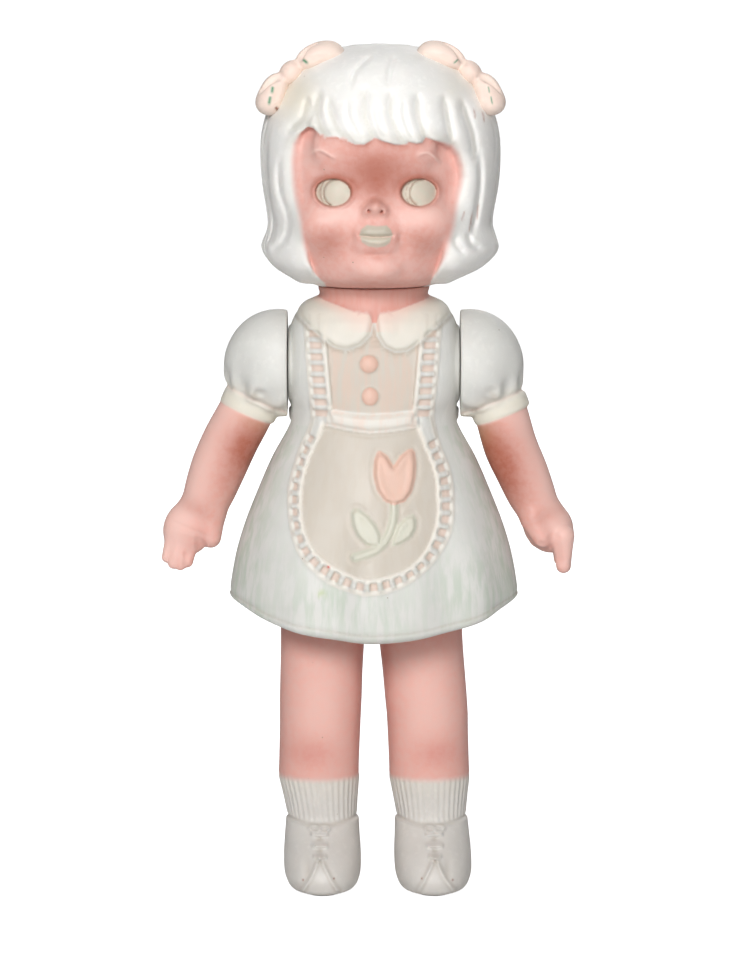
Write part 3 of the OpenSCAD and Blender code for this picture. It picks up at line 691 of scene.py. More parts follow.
def back_height(x, z):
    """Relief of the straps and the tied sash in the back view."""
    h = strap_cover(x, z) * (0.55 + 0.75 * strap_bars(z))
    sash = np.abs(z - 58) - 2.6
    h = np.maximum(h, 1.3 * ease(0.4, -1.2, sash))
    across = np.abs(x)
    h = np.maximum(h, 1.6 * ease(0.4, -1.6, outline(across, z, SASH_TAIL)))
    fold = 0.5 * ridge(np.abs(z - 60.2 - 0.06 * across), 1.1) * ease(11, 4, across)
    h = np.maximum(h, 2.6 * ease(0.4, -3, outline(across, z, SASH_LOOP)) - fold)
    return np.maximum(h, 3.2 * ease(3.4, 1.2, np.hypot(x, 1.1 * (z - 60))))


def hem_level(x, y):
    """Height of the hem below a place on the skirt."""
    depth = (y / 38) ** 2
    return -7 - 10.5 * depth / np.maximum((x / 51) ** 2 + depth, 1e-6)


def sculpt_body():
    clay = Clay((-55, -43, -20), (55, 43, 109), 0.6)
    x, y, z = clay.places
    flat_x, flat_z = x[:, :, 0], z[0]
    a, b, p = (np.interp(z, *np.transpose(curve_through(rows, 8))).astype(np.float32)
               for rows in (SIDE_PROFILE, FRONT_PROFILE, SQUARENESS))
    field = ((np.abs(x) / a) ** p + (np.abs(y) / b) ** p) ** (1 / p) - 1
    base = clay.true_distance(field, np.array([[-30.0], [99.6]]), z)
    around = np.arctan2(x, -y)
    flutes = 1.0 * np.cos(7 * around - 0.6) + 0.5 * np.cos(12 * around + 1)
    flutes = flutes * ease(0.1, 0.7, np.abs(np.cos(around)))
    base = base - flutes * ease(44, -6, z) * (z < 44)
    collar = nearest_outline(flat_x, flat_z, COLLARS)[:, None, :]
    rolled = 1.75 * ease(0.5, -1.5, collar) - 0.55 * ease(-2, -9, collar)
    rolled = rolled * ease(100, 94, z) * ease(28, 22, np.abs(x)) - 0.4 * ridge(collar - 1, 0.8)
    apron = apron_height(flat_x, flat_z)[:, None, :] * ease(2, -3, y)
    sash = back_height(flat_x, flat_z)[:, None, :] * ease(-2, 3, y)
    hem = hem_level(x, y)
    level = z - hem
    trim = 0.3 * ease(3.4, 2.8, level) - 0.3 * ridge(level - 3.4, 0.5)
    dress = base - np.maximum(np.maximum(rolled, apron), sash) - trim
    shoulder = joints["left_arm_swing"] - TORSO
    swing = np.hypot(y, z - shoulder[2])
    dress = join(dress, np.maximum(np.abs(x) - shoulder[0], swing - 13), 1.5)
    dress = np.maximum(dress, np.where(z > 56, np.abs(x) - shoulder[0], -1e3))
    dress = keep(dress, -level, 3.6)

    across = np.hypot(x, y)
    neck_top = HEAD[2] - TORSO[2]
    neck_r = 18.9 - 0.3 * ease(8, 3, neck_top - z) + 0.8 * ease(3, 0, neck_top - z)
    neck = np.maximum(across - neck_r, np.maximum(89 - z, z - neck_top))
    dress = join(dress, neck, 1.2)
    ring_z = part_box("neck_ring")[0].z * 1000 - TORSO[2]
    dress = join(dress, drum(z, across, 89, ring_z, SPIGOT_R), 0.3)

    inner = base + WALL
    dress = carve(dress, np.maximum(inner, WALL - z))
    recess = np.maximum(np.maximum(inner, z), np.hypot(x, y / 0.725) - 47)
    dress = carve(dress, recess, 1.0)
    dress = carve(dress, drum(z, across, 86, 130, 11))
    dress = carve(dress, drum(z, across, -40, 130, STRINGING_R))
    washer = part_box("left_shoulder_washer")
    seat = washer[0].x * 1000
    for side in (-1, 1):
        dress = carve(dress, drum(x * side, swing, seat - 8, 60, BOSS_HOLE_R))
        dress = carve(dress, drum(x * side, swing, seat, 60, SEAT_R))
        hip = np.hypot(x - side * joints["left_leg_turn"][0], y)
        dress = carve(dress, drum(z, hip, -6, 8, BOSS_HOLE_R))
    clay.d = dress.astype(np.float32)
    return clay


def paint_body(piece):
    x, y, z = vertices(piece, TORSO)
    front = ease(1, -2, y)
    across = np.hypot(x, y)
    neck = ease(0.7, 0.2, across - 19.2) * (z > 91)
    collar = nearest_outline(x, z, COLLARS)
    near_neck = ease(4, 0, across - 19.3) * (z > 88)
    collar_on = soft_edge(collar) * (1 - neck)
    straps = strap_cover(x, z)
    ruffle = ruffle_cover(x, z)
    _, place, _ = line(x, z, APRON_EDGE[1:-1])
    # Painted shade: a warmer, darker tone in the hollows between the ruffle's and the straps' ridges.
    hollows = np.maximum(straps * (1 - strap_bars(z)), ruffle * (1 - pleats(place)))
    lines = nearest_line(x, z, *STRAP_PIPING, *STRAP_EDGES, RUFFLE_EDGE, APRON_EDGE)
    hollows = hollows * ease(0.5, 1.3, lines) * ease(-0.2, 0.6, collar)
    bib = soft_edge(nearest_outline(x, z, [BIB, APRON_EDGE]))
    band = ease(0.2, -0.4, outline(x, z, WAISTBAND))
    flower = soft_edge(outline(x, z, TULIP))
    green = soft_edge(np.minimum(nearest_outline(x, z, LEAVES), nearest_line(x, z, STEM) - STEM_R))
    buttons = np.zeros_like(x)
    for cx, cz, rx, rz in BUTTONS:
        buttons = np.maximum(buttons, ease(1.02, 0.92, np.hypot((x - cx) / rx, (z - cz) / rz)))
    under_collar = ease(0.2, 0.9, collar)
    # Painted shade: a dark line under the collar's edge, lines in the creases beside the piping and edges,
    # and a line in the hem's groove.
    grime = 0.8 * ridge(collar - 0.9, 0.7) * front
    grime = np.maximum(grime, 0.25 * ridge(lines - 1.5, 0.5) * (ruffle + straps) * front)
    hem = z - hem_level(x, y)
    grime = np.maximum(grime, 0.5 * ridge(hem - 3.2, 0.5))
    # Grey-green patches near the hem, darker towards the skirt's bottom, and painted shade darkening the
    # skirt's sides.
    moss = 0.7 * spot(x, z, -16, -4, 12, 7) + 0.6 * spot(x, z, 30, 0, 9, 10)
    moss = (moss + 0.4 * spot(x, z, 4, -8, 10, 6)) * front
    to_side = np.abs(x) / np.interp(z, *np.transpose(SIDE_PROFILE))
    moss = moss + 0.35 * ease(30, 5, z) + 0.9 * ease(0.65, 1, to_side) * (z < 55)
    outside = (across > 19) & ((z > -0.5) | (hem < 40))
    paint(
        piece,
        neck=neck,
        blush=np.clip(near_neck * collar_on, 0, 1),
        bib=bib * under_collar * front * (1 - straps) * (1 - band),
        hollows=hollows * front * (1 - band),
        band=band * front,
        peach=np.maximum(flower, buttons) * front,
        leaf=green * front * (1 - flower),
        piping=ease(1.1, 0.5, lines) * front * under_collar,
        wash=np.maximum(bib * under_collar * (z > 60), band) * front * (1 - straps),
        collar=collar_on,
        # Painted shadow of the head on the neck, darkest at the top under the chin.
        nape=neck * (0.6 + 0.4 * ease(98, 102, z)),
        grime=grime * outside,
        moss=moss,
        line_red=spot(x, z, -15.5, 8.7, 0.45, 0.45) * front,
        line_green=spot(x, z, -17.8, -0.5, 1.1, 0.4) * front,
    )


# ---------- arms ----------

SHOULDER_GAP = 0.3  # between the shoulder's face and the arm
FOREARMS = {  # rows of [height, half width, half depth, x, y, squareness] down the arm's axis
    "left": [
        [-47, 5, 5.2, 0.2, 0, 2], [-43, 6.5, 6.4, 0, 0, 2], [-39, 7.2, 7, -0.1, 0, 2],
        [-33, 8.3, 8.1, -0.5, 0, 2], [-24, 9, 8.8, -0.8, 0, 2], [-14, 9.3, 9.2, -1.3, 0, 2],
        [-4, 9.3, 9.3, -0.5, 0, 2], [4, 9, 9, 0, 0, 2],
    ],
    "right": [
        [-47, 5.6, 4, -0.1, 0, 2], [-43, 7.2, 6.2, 0, 0, 2], [-39, 7.9, 7.2, 0.6, 0, 2],
        [-33, 8.9, 8.6, 0.9, 0, 2], [-24, 9.6, 9.4, 1.3, 0, 2], [-14, 9.7, 9.6, 1.2, 0, 2],
        [-4, 9.6, 9.6, 0.4, 0, 2], [4, 9.2, 9.2, 0, 0, 2],
    ],
}
ARMS = {
    "left": {"lean": 20.9, "cuff": (14.2, 0, -15.5)},
    "right": {"lean": 23.7, "cuff": (13.5, 0, -14.7)},
}
SLEEVE = (3.6, 0, 0.2)


def along_arm(x, y, z, arm):
    """Places about the arm's own axis: outwards, and down from the middle of the cuff."""
    lean = math.radians(arm["lean"])
    dx, dz = x - arm["cuff"][0], z - arm["cuff"][2]
    return dx * math.cos(lean) + dz * math.sin(lean), dx * math.sin(lean) - dz * math.cos(lean)


def flat_hand(x, y, z):
    """The right hand: fingers together and the thumb apart, with its back to the front."""
    hand = ball(x, y, z, (35, 0, -57.6), (8.6, 6.2, 10), -24)
    fingers = [
        ((32.8, -0.8, -57), (35.3, -2.8, -69.2), 3, 2.0),
        ((34.9, -1.2, -56), (37.7, -3.6, -70.1), 3.2, 2.0),
        ((37.2, -1.2, -55.5), (40.1, -3.4, -69.6), 3.2, 2.0),
        ((39, -0.8, -55.5), (42.4, -2.2, -67.7), 3, 1.9),
    ]
    for start, end, r0, r1 in fingers:
        hand = join(hand, rod(x, y, z, start, end, r0, r1), 0.9)
    hand = join(hand, rod(x, y, z, (27.2, -1.6, -54), (27.2, -2.6, -60.6), 4.3, 3.7), 1.6)
    hand = carve(hand, rod(x, y, z, (30.8, -7.4, -57), (30.4, -4.6, -64), 0.8, 1.4), 1.6)
    for cx in (34.4, 36.9, 39.5):
        hand = carve(hand, rod(x, y, z, (cx, -7.0, -61), (cx + 1.8, -6.0, -70.5), 0.5, 0.9), 1.0)
    return carve(hand, ball(x, y, z, (35.6, -6, -66.6), (1.0, 1.4, 1.6)), 1.0)


def curled_hand(x, y, z):
    """The left hand: seen edge on, fingers curled and the thumb in front."""
    hand = ball(x, y, z, (31.6, 0, -57.6), (8.2, 8, 8.8), -24)
    for f in range(4):
        v = -5.4 + 3.6 * f
        tip = (36.2 + (0, 0.4, 0.2, -0.4)[f], v * 0.95 - 0.4, -70.3 + (0, -0.5, 0.2, 1.2)[f])
        hand = join(hand, rod(x, y, z, (36, v, -60), tip, 4.1, 2.5), 0.9)
    hand = join(hand, rod(x, y, z, (25.8, -5, -54.5), (28.8, -7, -60.3), 4.1, 3.2), 2)
    hand = carve(hand, ball(x, y, z, (28.8, -10.8, -62.4), (1.9, 1.6, 0.9), 20), 1.2)
    hand = carve(hand, rod(x, y, z, (33, -10.6, -60.6), (34.4, -8.8, -68), 1.5, 1.1), 2.2)
    for v in (-3.6, 0, 3.6):
        hand = carve(hand, rod(x, y, z, (40.8, v, -63), (37.4, v, -74), 0.5, 0.7), 1.0)
    return hand


def sculpt_arm(name):
    arm = ARMS[name]
    clay = Clay((-5, -21, -77), (50, 21, 19), 0.42)
    x, y, z = clay.places
    u, down = along_arm(x, y, z, arm)
    limb = clay.figure(FOREARMS[name], x=u, z=-down)
    limb = limb + 0.35 * ridge(down - 42, 2.2)
    hand = (curled_hand if name == "left" else flat_hand)(x, y, z)
    limb = join(limb, hand, 4)
    sleeve = ball(x, y, z, SLEEVE, (18.3, 17.9, 18.6))
    turn = np.arctan2(y, u)
    folds = np.cos(9 * turn + 0.8) + 0.5 * np.cos(5 * turn + 2)
    gather = 0.8 * ridge(down + 5.5, 3.6) * folds
    puff = 0.55 * ridge(down + 12, 6) * np.cos(4 * turn + 1.2)
    sleeve = sleeve - gather - puff
    sleeve = join(sleeve, drum(down, np.hypot(u, y), -12, -3.4, 9.6), 3)
    sleeve = sleeve + 0.6 * ridge(down + 3.4, 0.9)
    dimple = (11.5, -17, -8.8) if name == "left" else (10, -16.8, -9.6)
    sleeve = carve(sleeve, ball(x, y, z, dimple, (2.2, 3.2, 1.6)), 2.2)
    cuff = keep(np.hypot(u, y) - 9.4 - 0.2 * np.cos(2 * turn), np.abs(down) - 2.3, 1.6)
    sleeve = join(sleeve, cuff - 0.6, 1.4)
    base = join(limb, ball(x, y, z, SLEEVE, (18.1, 17.8, 18.5)))
    solid = join(sleeve, limb, 0.5)
    solid = keep(solid, SHOULDER_GAP - x, 0.6)
    hollow = np.maximum(base + WALL, SHOULDER_GAP + WALL - x)
    hollow = np.maximum(hollow, down - 36)
    solid = carve(solid, hollow)
    axis = np.hypot(y, z)
    solid = join(solid, drum(x, axis, -3.2, WALL + 1.2, BOSS_R), 0.2)
    clay.d = carve(solid, drum(x, axis, -20, 9, PLUG_HOLE_R)).astype(np.float32)
    return clay


def paint_arm(piece, name, origin, side):
    arm = ARMS[name]
    x, y, z = vertices(piece, origin, side)
    u, down = along_arm(x, y, z, arm)
    skin = ease(2.6, 3.2, down) * (x > 4)
    # Painted highlight: the skin is paler towards the arm's outer side.
    outer = ease(-3, 7, u)
    # Deep rose and tan paint, with painted shade, on the inner side below the cuff, where the arm meets the
    # body.
    if name == "left":
        deep = 1.1 * spot(u, down, -7, 15, 8, 11) + 0.5 * spot(u, down, -6, 28, 7, 9)
        tan = 0.9 * spot(u, down, -10, 8, 5, 10)
    else:
        deep = 1.15 * spot(u, down, -6, 13, 9, 9) + 0.35 * spot(u, down, -4, 26, 8, 8)
        tan = 0.5 * spot(u, down, -6, 4, 7, 4)
    deep = np.clip(deep + 0.3 * spot(u, down, 2, 40, 7, 3), 0, 1)
    seam = 0.9 * ridge(down - 2.9, 0.5) + 0.4 * ridge(down + 3.3, 0.7)
    flush = ease(-9, 1, down) * (1 - skin)
    # A dark spot in the sleeve's dimple.
    pores = ridge(np.hypot(x - 11.4, z + 9.8), 1.4) * (y < 0)
    paint(piece, skin=skin, deep=deep * skin, pale=0.75 * outer * skin * (1 - deep), tan=tan * skin,
          seam=seam * (x > 0.5), flush=0.85 * flush, grime=0.7 * pores)


# ---------- legs ----------

LEG_BOSS_H = 4.3
LEG_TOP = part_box("left_leg")[1].z * 1000 - LEG_BOSS_H
LEG_ROWS = [
    [-4, 8.6, 18.6, 2.7, -7.6, 2.2], [0, 8.6, 18.6, 2.7, -7.6, 2.2],
    [1.4, 10.6, 20.4, 2.7, -7.6, 2.2], [3, 11.8, 21.6, 2.7, -7.6, 2.2],
    [6, 12.7, 22.2, 2.7, -7.6, 2.2], [10, 12.9, 20.8, 2.6, -7, 2.1], [14, 12.8, 18.2, 2.5, -5.2, 2],
    [18, 12.5, 15.4, 2.4, -2.8, 2], [23, 12.2, 12.8, 2.2, -0.4, 2], [25, 12.2, 12.2, 2.2, 0.2, 2],
    [31, 13, 12.7, 2.1, 0.2, 2], [38.5, 14.1, 13.8, 2, 0, 2], [42, 14, 13.8, 1.9, 0, 2],
    [58, 14.1, 14, 1.1, 0, 2], [74, 14.3, 14.2, 0.5, 0, 2], [88, 14.6, 14.6, -0.1, 0, 2],
    [LEG_TOP, 14.8, 14.8, -0.2, 0, 2],
]
LEG_BENDS = {  # how far each leg's middle is from those rows, outwards, by height
    "left": ([0, 24, 39, 60, 88], [0.9, 0.7, 0.2, 0.5, -0.8]),
    "right": ([0, 24, 39, 60, 88], [-2.2, -1.3, 0.1, 0.5, 0.8]),
}
TOE_SEAM = [[(3, 13.6), (0.4, 8.6), (-2.6, 2.8)], [(3.4, 13.6), (5.8, 8.6), (9.4, 2.8)]]
LACES = [(20.2, 2.9), (17, 2.8), (13.9, 2.2)]  # height and half width of each bar


def shoe_height(x, y, z):
    """Relief of the shoe and sock: ribs, the shoe's top edge, laces and the toe's seam."""
    front = ease(2, -4, y)
    turn = np.arctan2(x - 2.2, -y)
    top = 23.6 - 1.3 * ease(14, 2, np.abs(x - 2.2)) * front
    ribs = 0.17 * np.cos(turn * 38) * ease(top + 0.6, top + 2, z) * ease(39.4, 36.8, z)
    h = ribs + 0.6 * ease(top + 0.5, top - 0.5, z) - 0.3 * ridge(z - top - 0.5, 0.5)
    h = h - 0.15 * ridge(z - 39, 0.8)
    seams = ridge(nearest_line(x, z, *TOE_SEAM), 0.55)
    hollow = spot(x, z, 7.4, 9.4, 1.6, 3.6)
    h = h + front * (0.7 * seams - 0.6 * hollow)
    for level, half in LACES:
        bar = ridge(z - level, 0.6) * ease(half + 0.6, half - 0.4, np.abs(x - 3.1))
        hole = spot(x, z, 3.1, level - 1.5, 1.0, 0.5)
        h = h + front * (0.95 * bar - 0.6 * hole)
    loops = np.minimum(np.hypot((x - 1.4) / 1.9, z - 21.9), np.hypot((x - 4.8) / 1.9, z - 21.9))
    return h + front * 0.8 * ridge(loops - 0.9, 0.3)


def unbent(name, x, z):
    """Places across a leg, as if it were straight."""
    return x - np.interp(z, *LEG_BENDS[name]).astype(np.float32)


def sculpt_leg(name):
    clay = Clay((-18, -33, -2), (21, 19, LEG_TOP + 5), 0.42)
    _, y, z = clay.places
    straight, x = clay.x, unbent(name, clay.x, clay.z)
    base = clay.figure(LEG_ROWS, x=x)
    knee = 0.45 * ridge(z - 66, 9) * ease(4, -8, y)
    low = z[0, 0] < 42
    solid = base - knee
    solid[:, :, low] = solid[:, :, low] - shoe_height(x[:, :, low], y, z[:, :, low])
    solid = keep(solid, -z + 0 * solid, 2.5)
    hollow = np.maximum(base + WALL, np.maximum(2 * WALL - z, z - LEG_TOP + WALL))
    solid = carve(solid, hollow)
    across = np.hypot(straight, y)
    solid = join(solid, drum(z, across, LEG_TOP - WALL - 1, LEG_TOP + LEG_BOSS_H, BOSS_R), 0.2)
    clay.d = carve(solid, drum(z, across, LEG_TOP - 9, LEG_TOP + 10, PLUG_HOLE_R)).astype(np.float32)
    return clay


def paint_leg(piece, name, origin, side):
    x, y, z = vertices(piece, origin, side)
    x = unbent(name, x, z)
    skin = ease(36.8, 40.2, z)
    front = ease(2, -4, y)
    outer = np.abs(x - 1.5) / 14
    # Painted shadow at the top of the leg under the skirt and painted shade towards its sides, with a rose
    # patch of paint on the shin.
    deep = 0.6 * ease(80, 90, z) + 0.8 * spot(x, z, 4, 48, 8, 6) + 0.35 * ease(0.75, 1, outer)
    # Painted highlight: a paler band down the middle of the leg, about the knee.
    pale = 0.35 * ridge(z - 62, 16) * ease(0.9, 0.2, outer)
    seams = np.zeros_like(x)
    for points in TOE_SEAM:
        seams = np.maximum(seams, ridge(line(x, z, points)[0] - 0.9, 0.5))
    holes = np.zeros_like(x)
    for level, _ in LACES:
        holes = np.maximum(holes, spot(x, z, 3.1, level - 1.5, 1.1, 0.5))
    top = 23.6 - 1.3 * ease(14, 2, np.abs(x - 2.2)) * front
    # Painted shade: dark lines in the toe's seams and under the shoe's top edge, and dark spots in the lace
    # holes and in the hollow beside the lacing.
    grime = np.maximum(0.35 * seams * front, 0.8 * holes * front)
    grime = np.maximum(grime, 0.4 * spot(x, z, 7.4, 9.4, 1.5, 3.4) * front)
    grime = np.maximum(grime, 0.5 * ridge(z - top - 0.7, 0.5) * (z < 30))
    pores = spot(x, z, -1.5, 7.2, 0.3, 0.3) + spot(x, z, 9.2, 6.4, 0.35, 0.3)
    flush = ease(28, 38, z) * (1 - skin)
    paint(piece, skin=skin, deep=deep * skin, pale=pale * skin, grime=grime * (1 - skin),
          pores=pores * front * (1 - skin), flush=0.5 * flush)


# ---------- materials ----------

COLOURS = {
    "hair": (0.86, 0.845, 0.815), "dress": (0.69, 0.685, 0.65), "shoe": (0.66, 0.63, 0.59),
    # Several of these colours also paint light and shade: the deep rose paints blush and painted shade, the
    # pale pink paints painted highlights, and the warm tone of the hollows, the dark brown-grey, the
    # grey-green and the grey of the grooves also paint shade.
    "skin": (0.76, 0.40, 0.34), "deep": (0.40, 0.115, 0.07), "pale": (0.90, 0.62, 0.55),
    "rose": (0.62, 0.235, 0.19), "eye": (0.60, 0.56, 0.46), "lip": (0.48, 0.44, 0.36),
    "bow": (0.88, 0.73, 0.64), "pink": (0.86, 0.54, 0.46),
    "peach": (0.78, 0.50, 0.40), "bib": (0.575, 0.51, 0.43), "leaf": (0.64, 0.63, 0.53),
    "hollow": (0.72, 0.55, 0.46), "piping": (0.80, 0.755, 0.68), "beige": (0.76, 0.70, 0.58),
    "grime": (0.30, 0.235, 0.16), "moss": (0.50, 0.56, 0.47), "green": (0.0, 0.22, 0.10),
    "scuff": (0.40, 0.17, 0.12), "tan": (0.47, 0.25, 0.10), "red": (0.8, 0.05, 0.03),
    "lime": (0.35, 0.50, 0.05), "brown": (0.25, 0.08, 0.04), "groove": (0.56, 0.54, 0.47),
}


class Nodes:
    """Builds a material's node tree."""

    def __init__(self, name):
        self.material = bpy.data.materials.new(name)
        self.material.use_nodes = True
        self.tree = self.material.node_tree
        self.shader = self.tree.nodes["Principled BSDF"]
        self.place = self.tree.nodes.new("ShaderNodeTexCoord").outputs["Object"]

    def node(self, kind, inputs=None, **settings):
        made = self.tree.nodes.new(kind)
        for key, value in settings.items():
            setattr(made, key, value)
        for key, value in (inputs or {}).items():
            if isinstance(value, bpy.types.NodeSocket):
                self.tree.links.new(value, made.inputs[key])
            else:
                made.inputs[key].default_value = value
        return made

    def stretched(self, scale):
        return self.node("ShaderNodeMapping", {"Vector": self.place, "Scale": scale}).outputs[0]

    def noise(self, scale, detail=3.0, stretch=None):
        vector = self.stretched(stretch) if stretch else self.place
        inputs = {"Vector": vector, "Scale": scale, "Detail": detail, "Roughness": 0.55}
        return self.node("ShaderNodeTexNoise", inputs).outputs["Fac"]

    def spread(self, value, low, high, to_low=0.0, to_high=1.0):
        inputs = {"Value": value, "From Min": low, "From Max": high, "To Min": to_low, "To Max": to_high}
        return self.node("ShaderNodeMapRange", inputs, clamp=True).outputs[0]

    def math(self, kind, a, b):
        return self.node("ShaderNodeMath", {0: a, 1: b}, operation=kind).outputs[0]

    def mask(self, name):
        return self.node("ShaderNodeAttribute", attribute_name=name, attribute_type="GEOMETRY").outputs["Fac"]

    def mix(self, under, over, share):
        made = self.node("ShaderNodeMix", data_type="RGBA")
        for socket, value in ((made.inputs[0], share), (made.inputs[6], under), (made.inputs[7], over)):
            if isinstance(value, bpy.types.NodeSocket):
                self.tree.links.new(value, socket)
            else:
                socket.default_value = value if isinstance(value, float) else (*value, 1.0)
        return made.outputs[2]

    def finish(self, colour, roughness, height, strength, distance):
        self.tree.links.new(colour, self.shader.inputs["Base Color"])
        self.tree.links.new(roughness, self.shader.inputs["Roughness"])
        inputs = {"Height": height, "Strength": strength, "Distance": distance}
        self.tree.links.new(self.node("ShaderNodeBump", inputs).outputs[0], self.shader.inputs["Normal"])
        return self.material


def bisque(name, ground, layers, gloss=0.46, streak=(1.0, 1.0, 1.0)):
    """Unglazed china: a ground colour, and painted layers that sink in unevenly.

    A layer is (mask, colour, strength) and, for a scrubbed wash, the share of it left between strokes.
    """
    n = Nodes(name)
    cloud = n.noise(95, 4)
    brush = n.noise(420, 3, streak)
    grain = n.noise(2600, 2)
    darker = tuple(0.86 * c for c in COLOURS[ground])
    lighter = tuple(min(1.06 * c, 1) for c in COLOURS[ground])
    colour = n.mix(COLOURS[ground], darker, n.spread(cloud, 0.35, 0.75, 0, 0.5))
    colour = n.mix(colour, lighter, n.spread(brush, 0.52, 0.7, 0, 0.6))
    for mask, tint, strength, *even in layers:
        least = even[0] if even else 0.88
        patchy = n.spread(brush, 0.42, 0.62, least * strength, strength)
        colour = n.mix(colour, COLOURS[tint], n.math("MULTIPLY", n.mask(mask), patchy))
    pits = n.node("ShaderNodeTexVoronoi", {"Vector": n.place, "Scale": 165.0}).outputs["Distance"]
    rare = n.spread(n.noise(70, 1), 0.6, 0.66)
    dots = n.math("MULTIPLY", n.spread(pits, 0.05, 0.035), rare)
    colour = n.mix(colour, COLOURS["grime"], n.math("MULTIPLY", dots, 0.75))
    rough = n.spread(cloud, 0.3, 0.7, gloss - 0.05, gloss + 0.1)
    height = n.math("ADD", n.math("MULTIPLY", grain, 0.35), n.math("MULTIPLY", brush, 0.65))
    height = n.math("SUBTRACT", height, dots)
    n.shader.inputs["Specular IOR Level"].default_value = 0.42
    n.shader.inputs["Subsurface Weight"].default_value = 0.06
    n.shader.inputs["Subsurface Radius"].default_value = (0.002, 0.0012, 0.0008)
    n.shader.inputs["Subsurface Scale"].default_value = 1.0
    return n.finish(colour, rough, height, 0.28, 0.00022)


def turned_wood():
    n = Nodes("turned_wood")
    rings = n.node("ShaderNodeTexWave", {"Vector": n.place, "Scale": 170.0, "Distortion": 5.0, "Detail": 2.0})
    fibre = n.noise(900, 3, (0.15, 1.0, 1.0))
    colour = n.mix((0.52, 0.33, 0.16), (0.36, 0.20, 0.09), rings.outputs["Fac"])
    colour = n.mix(colour, (0.62, 0.44, 0.25), n.spread(fibre, 0.5, 0.8, 0, 0.7))
    return n.finish(colour, n.spread(fibre, 0.3, 0.7, 0.55, 0.72), fibre, 0.4, 0.0002)


def drawn_wire():
    n = Nodes("drawn_wire")
    dull = n.noise(300, 4)
    marks = n.noise(2500, 2, (1.0, 1.0, 0.05))
    colour = n.mix((0.52, 0.52, 0.54), (0.30, 0.24, 0.19), n.spread(dull, 0.55, 0.75))
    n.shader.inputs["Metallic"].default_value = 1.0
    return n.finish(colour, n.spread(dull, 0.3, 0.7, 0.26, 0.5), marks, 0.2, 0.00005)


def cut_leather():
    n = Nodes("cut_leather")
    cells = n.node("ShaderNodeTexVoronoi", {"Vector": n.place, "Scale": 1500.0}).outputs["Distance"]
    age = n.noise(220, 4)
    colour = n.mix((0.50, 0.36, 0.22), (0.30, 0.19, 0.10), n.spread(age, 0.4, 0.7))
    colour = n.mix(colour, (0.62, 0.50, 0.35), n.spread(cells, 0.45, 0.8, 0, 0.5))
    return n.finish(colour, n.spread(age, 0.3, 0.7, 0.6, 0.8), cells, 0.5, 0.0002)


def covered_elastic():
    n = Nodes("covered_elastic")
    inputs = {"Vector": n.stretched((1.0, 1.0, 0.6)), "Scale": 480.0, "Distortion": 1.0}
    braid = n.node("ShaderNodeTexWave", inputs, bands_direction="DIAGONAL").outputs["Fac"]
    fuzz = n.noise(1800, 3)
    colour = n.mix((0.80, 0.78, 0.70), (0.60, 0.57, 0.48), braid)
    colour = n.mix(colour, (0.86, 0.84, 0.78), n.spread(fuzz, 0.55, 0.75, 0, 0.5))
    return n.finish(colour, n.spread(fuzz, 0.3, 0.7, 0.75, 0.9), braid, 0.5, 0.0002)


# ---------- the doll ----------

CAMERA = (0.0004, -1.5, 0.32)  # its place in metres
CAMERA_AIM_Z = 0.1416  # the height it looks at, above the doll's feet
LENS = 162.3  # in mm, on a 36 mm sensor
LAMP_AIM = Vector((0, 0, 0.15))
LAMPS = [  # name, place and size in metres, and power in watts
    ("key", (-0.3, -1.5, 0.85), 0.5, 19.0),
    ("fill", (0.6, -1.5, 0.45), 0.8, 4.0),
    ("top", (0, -0.2, 1.5), 0.8, 3.0),
    ("back", (0.4, 1.5, 0.9), 1.2, 7.0),
]


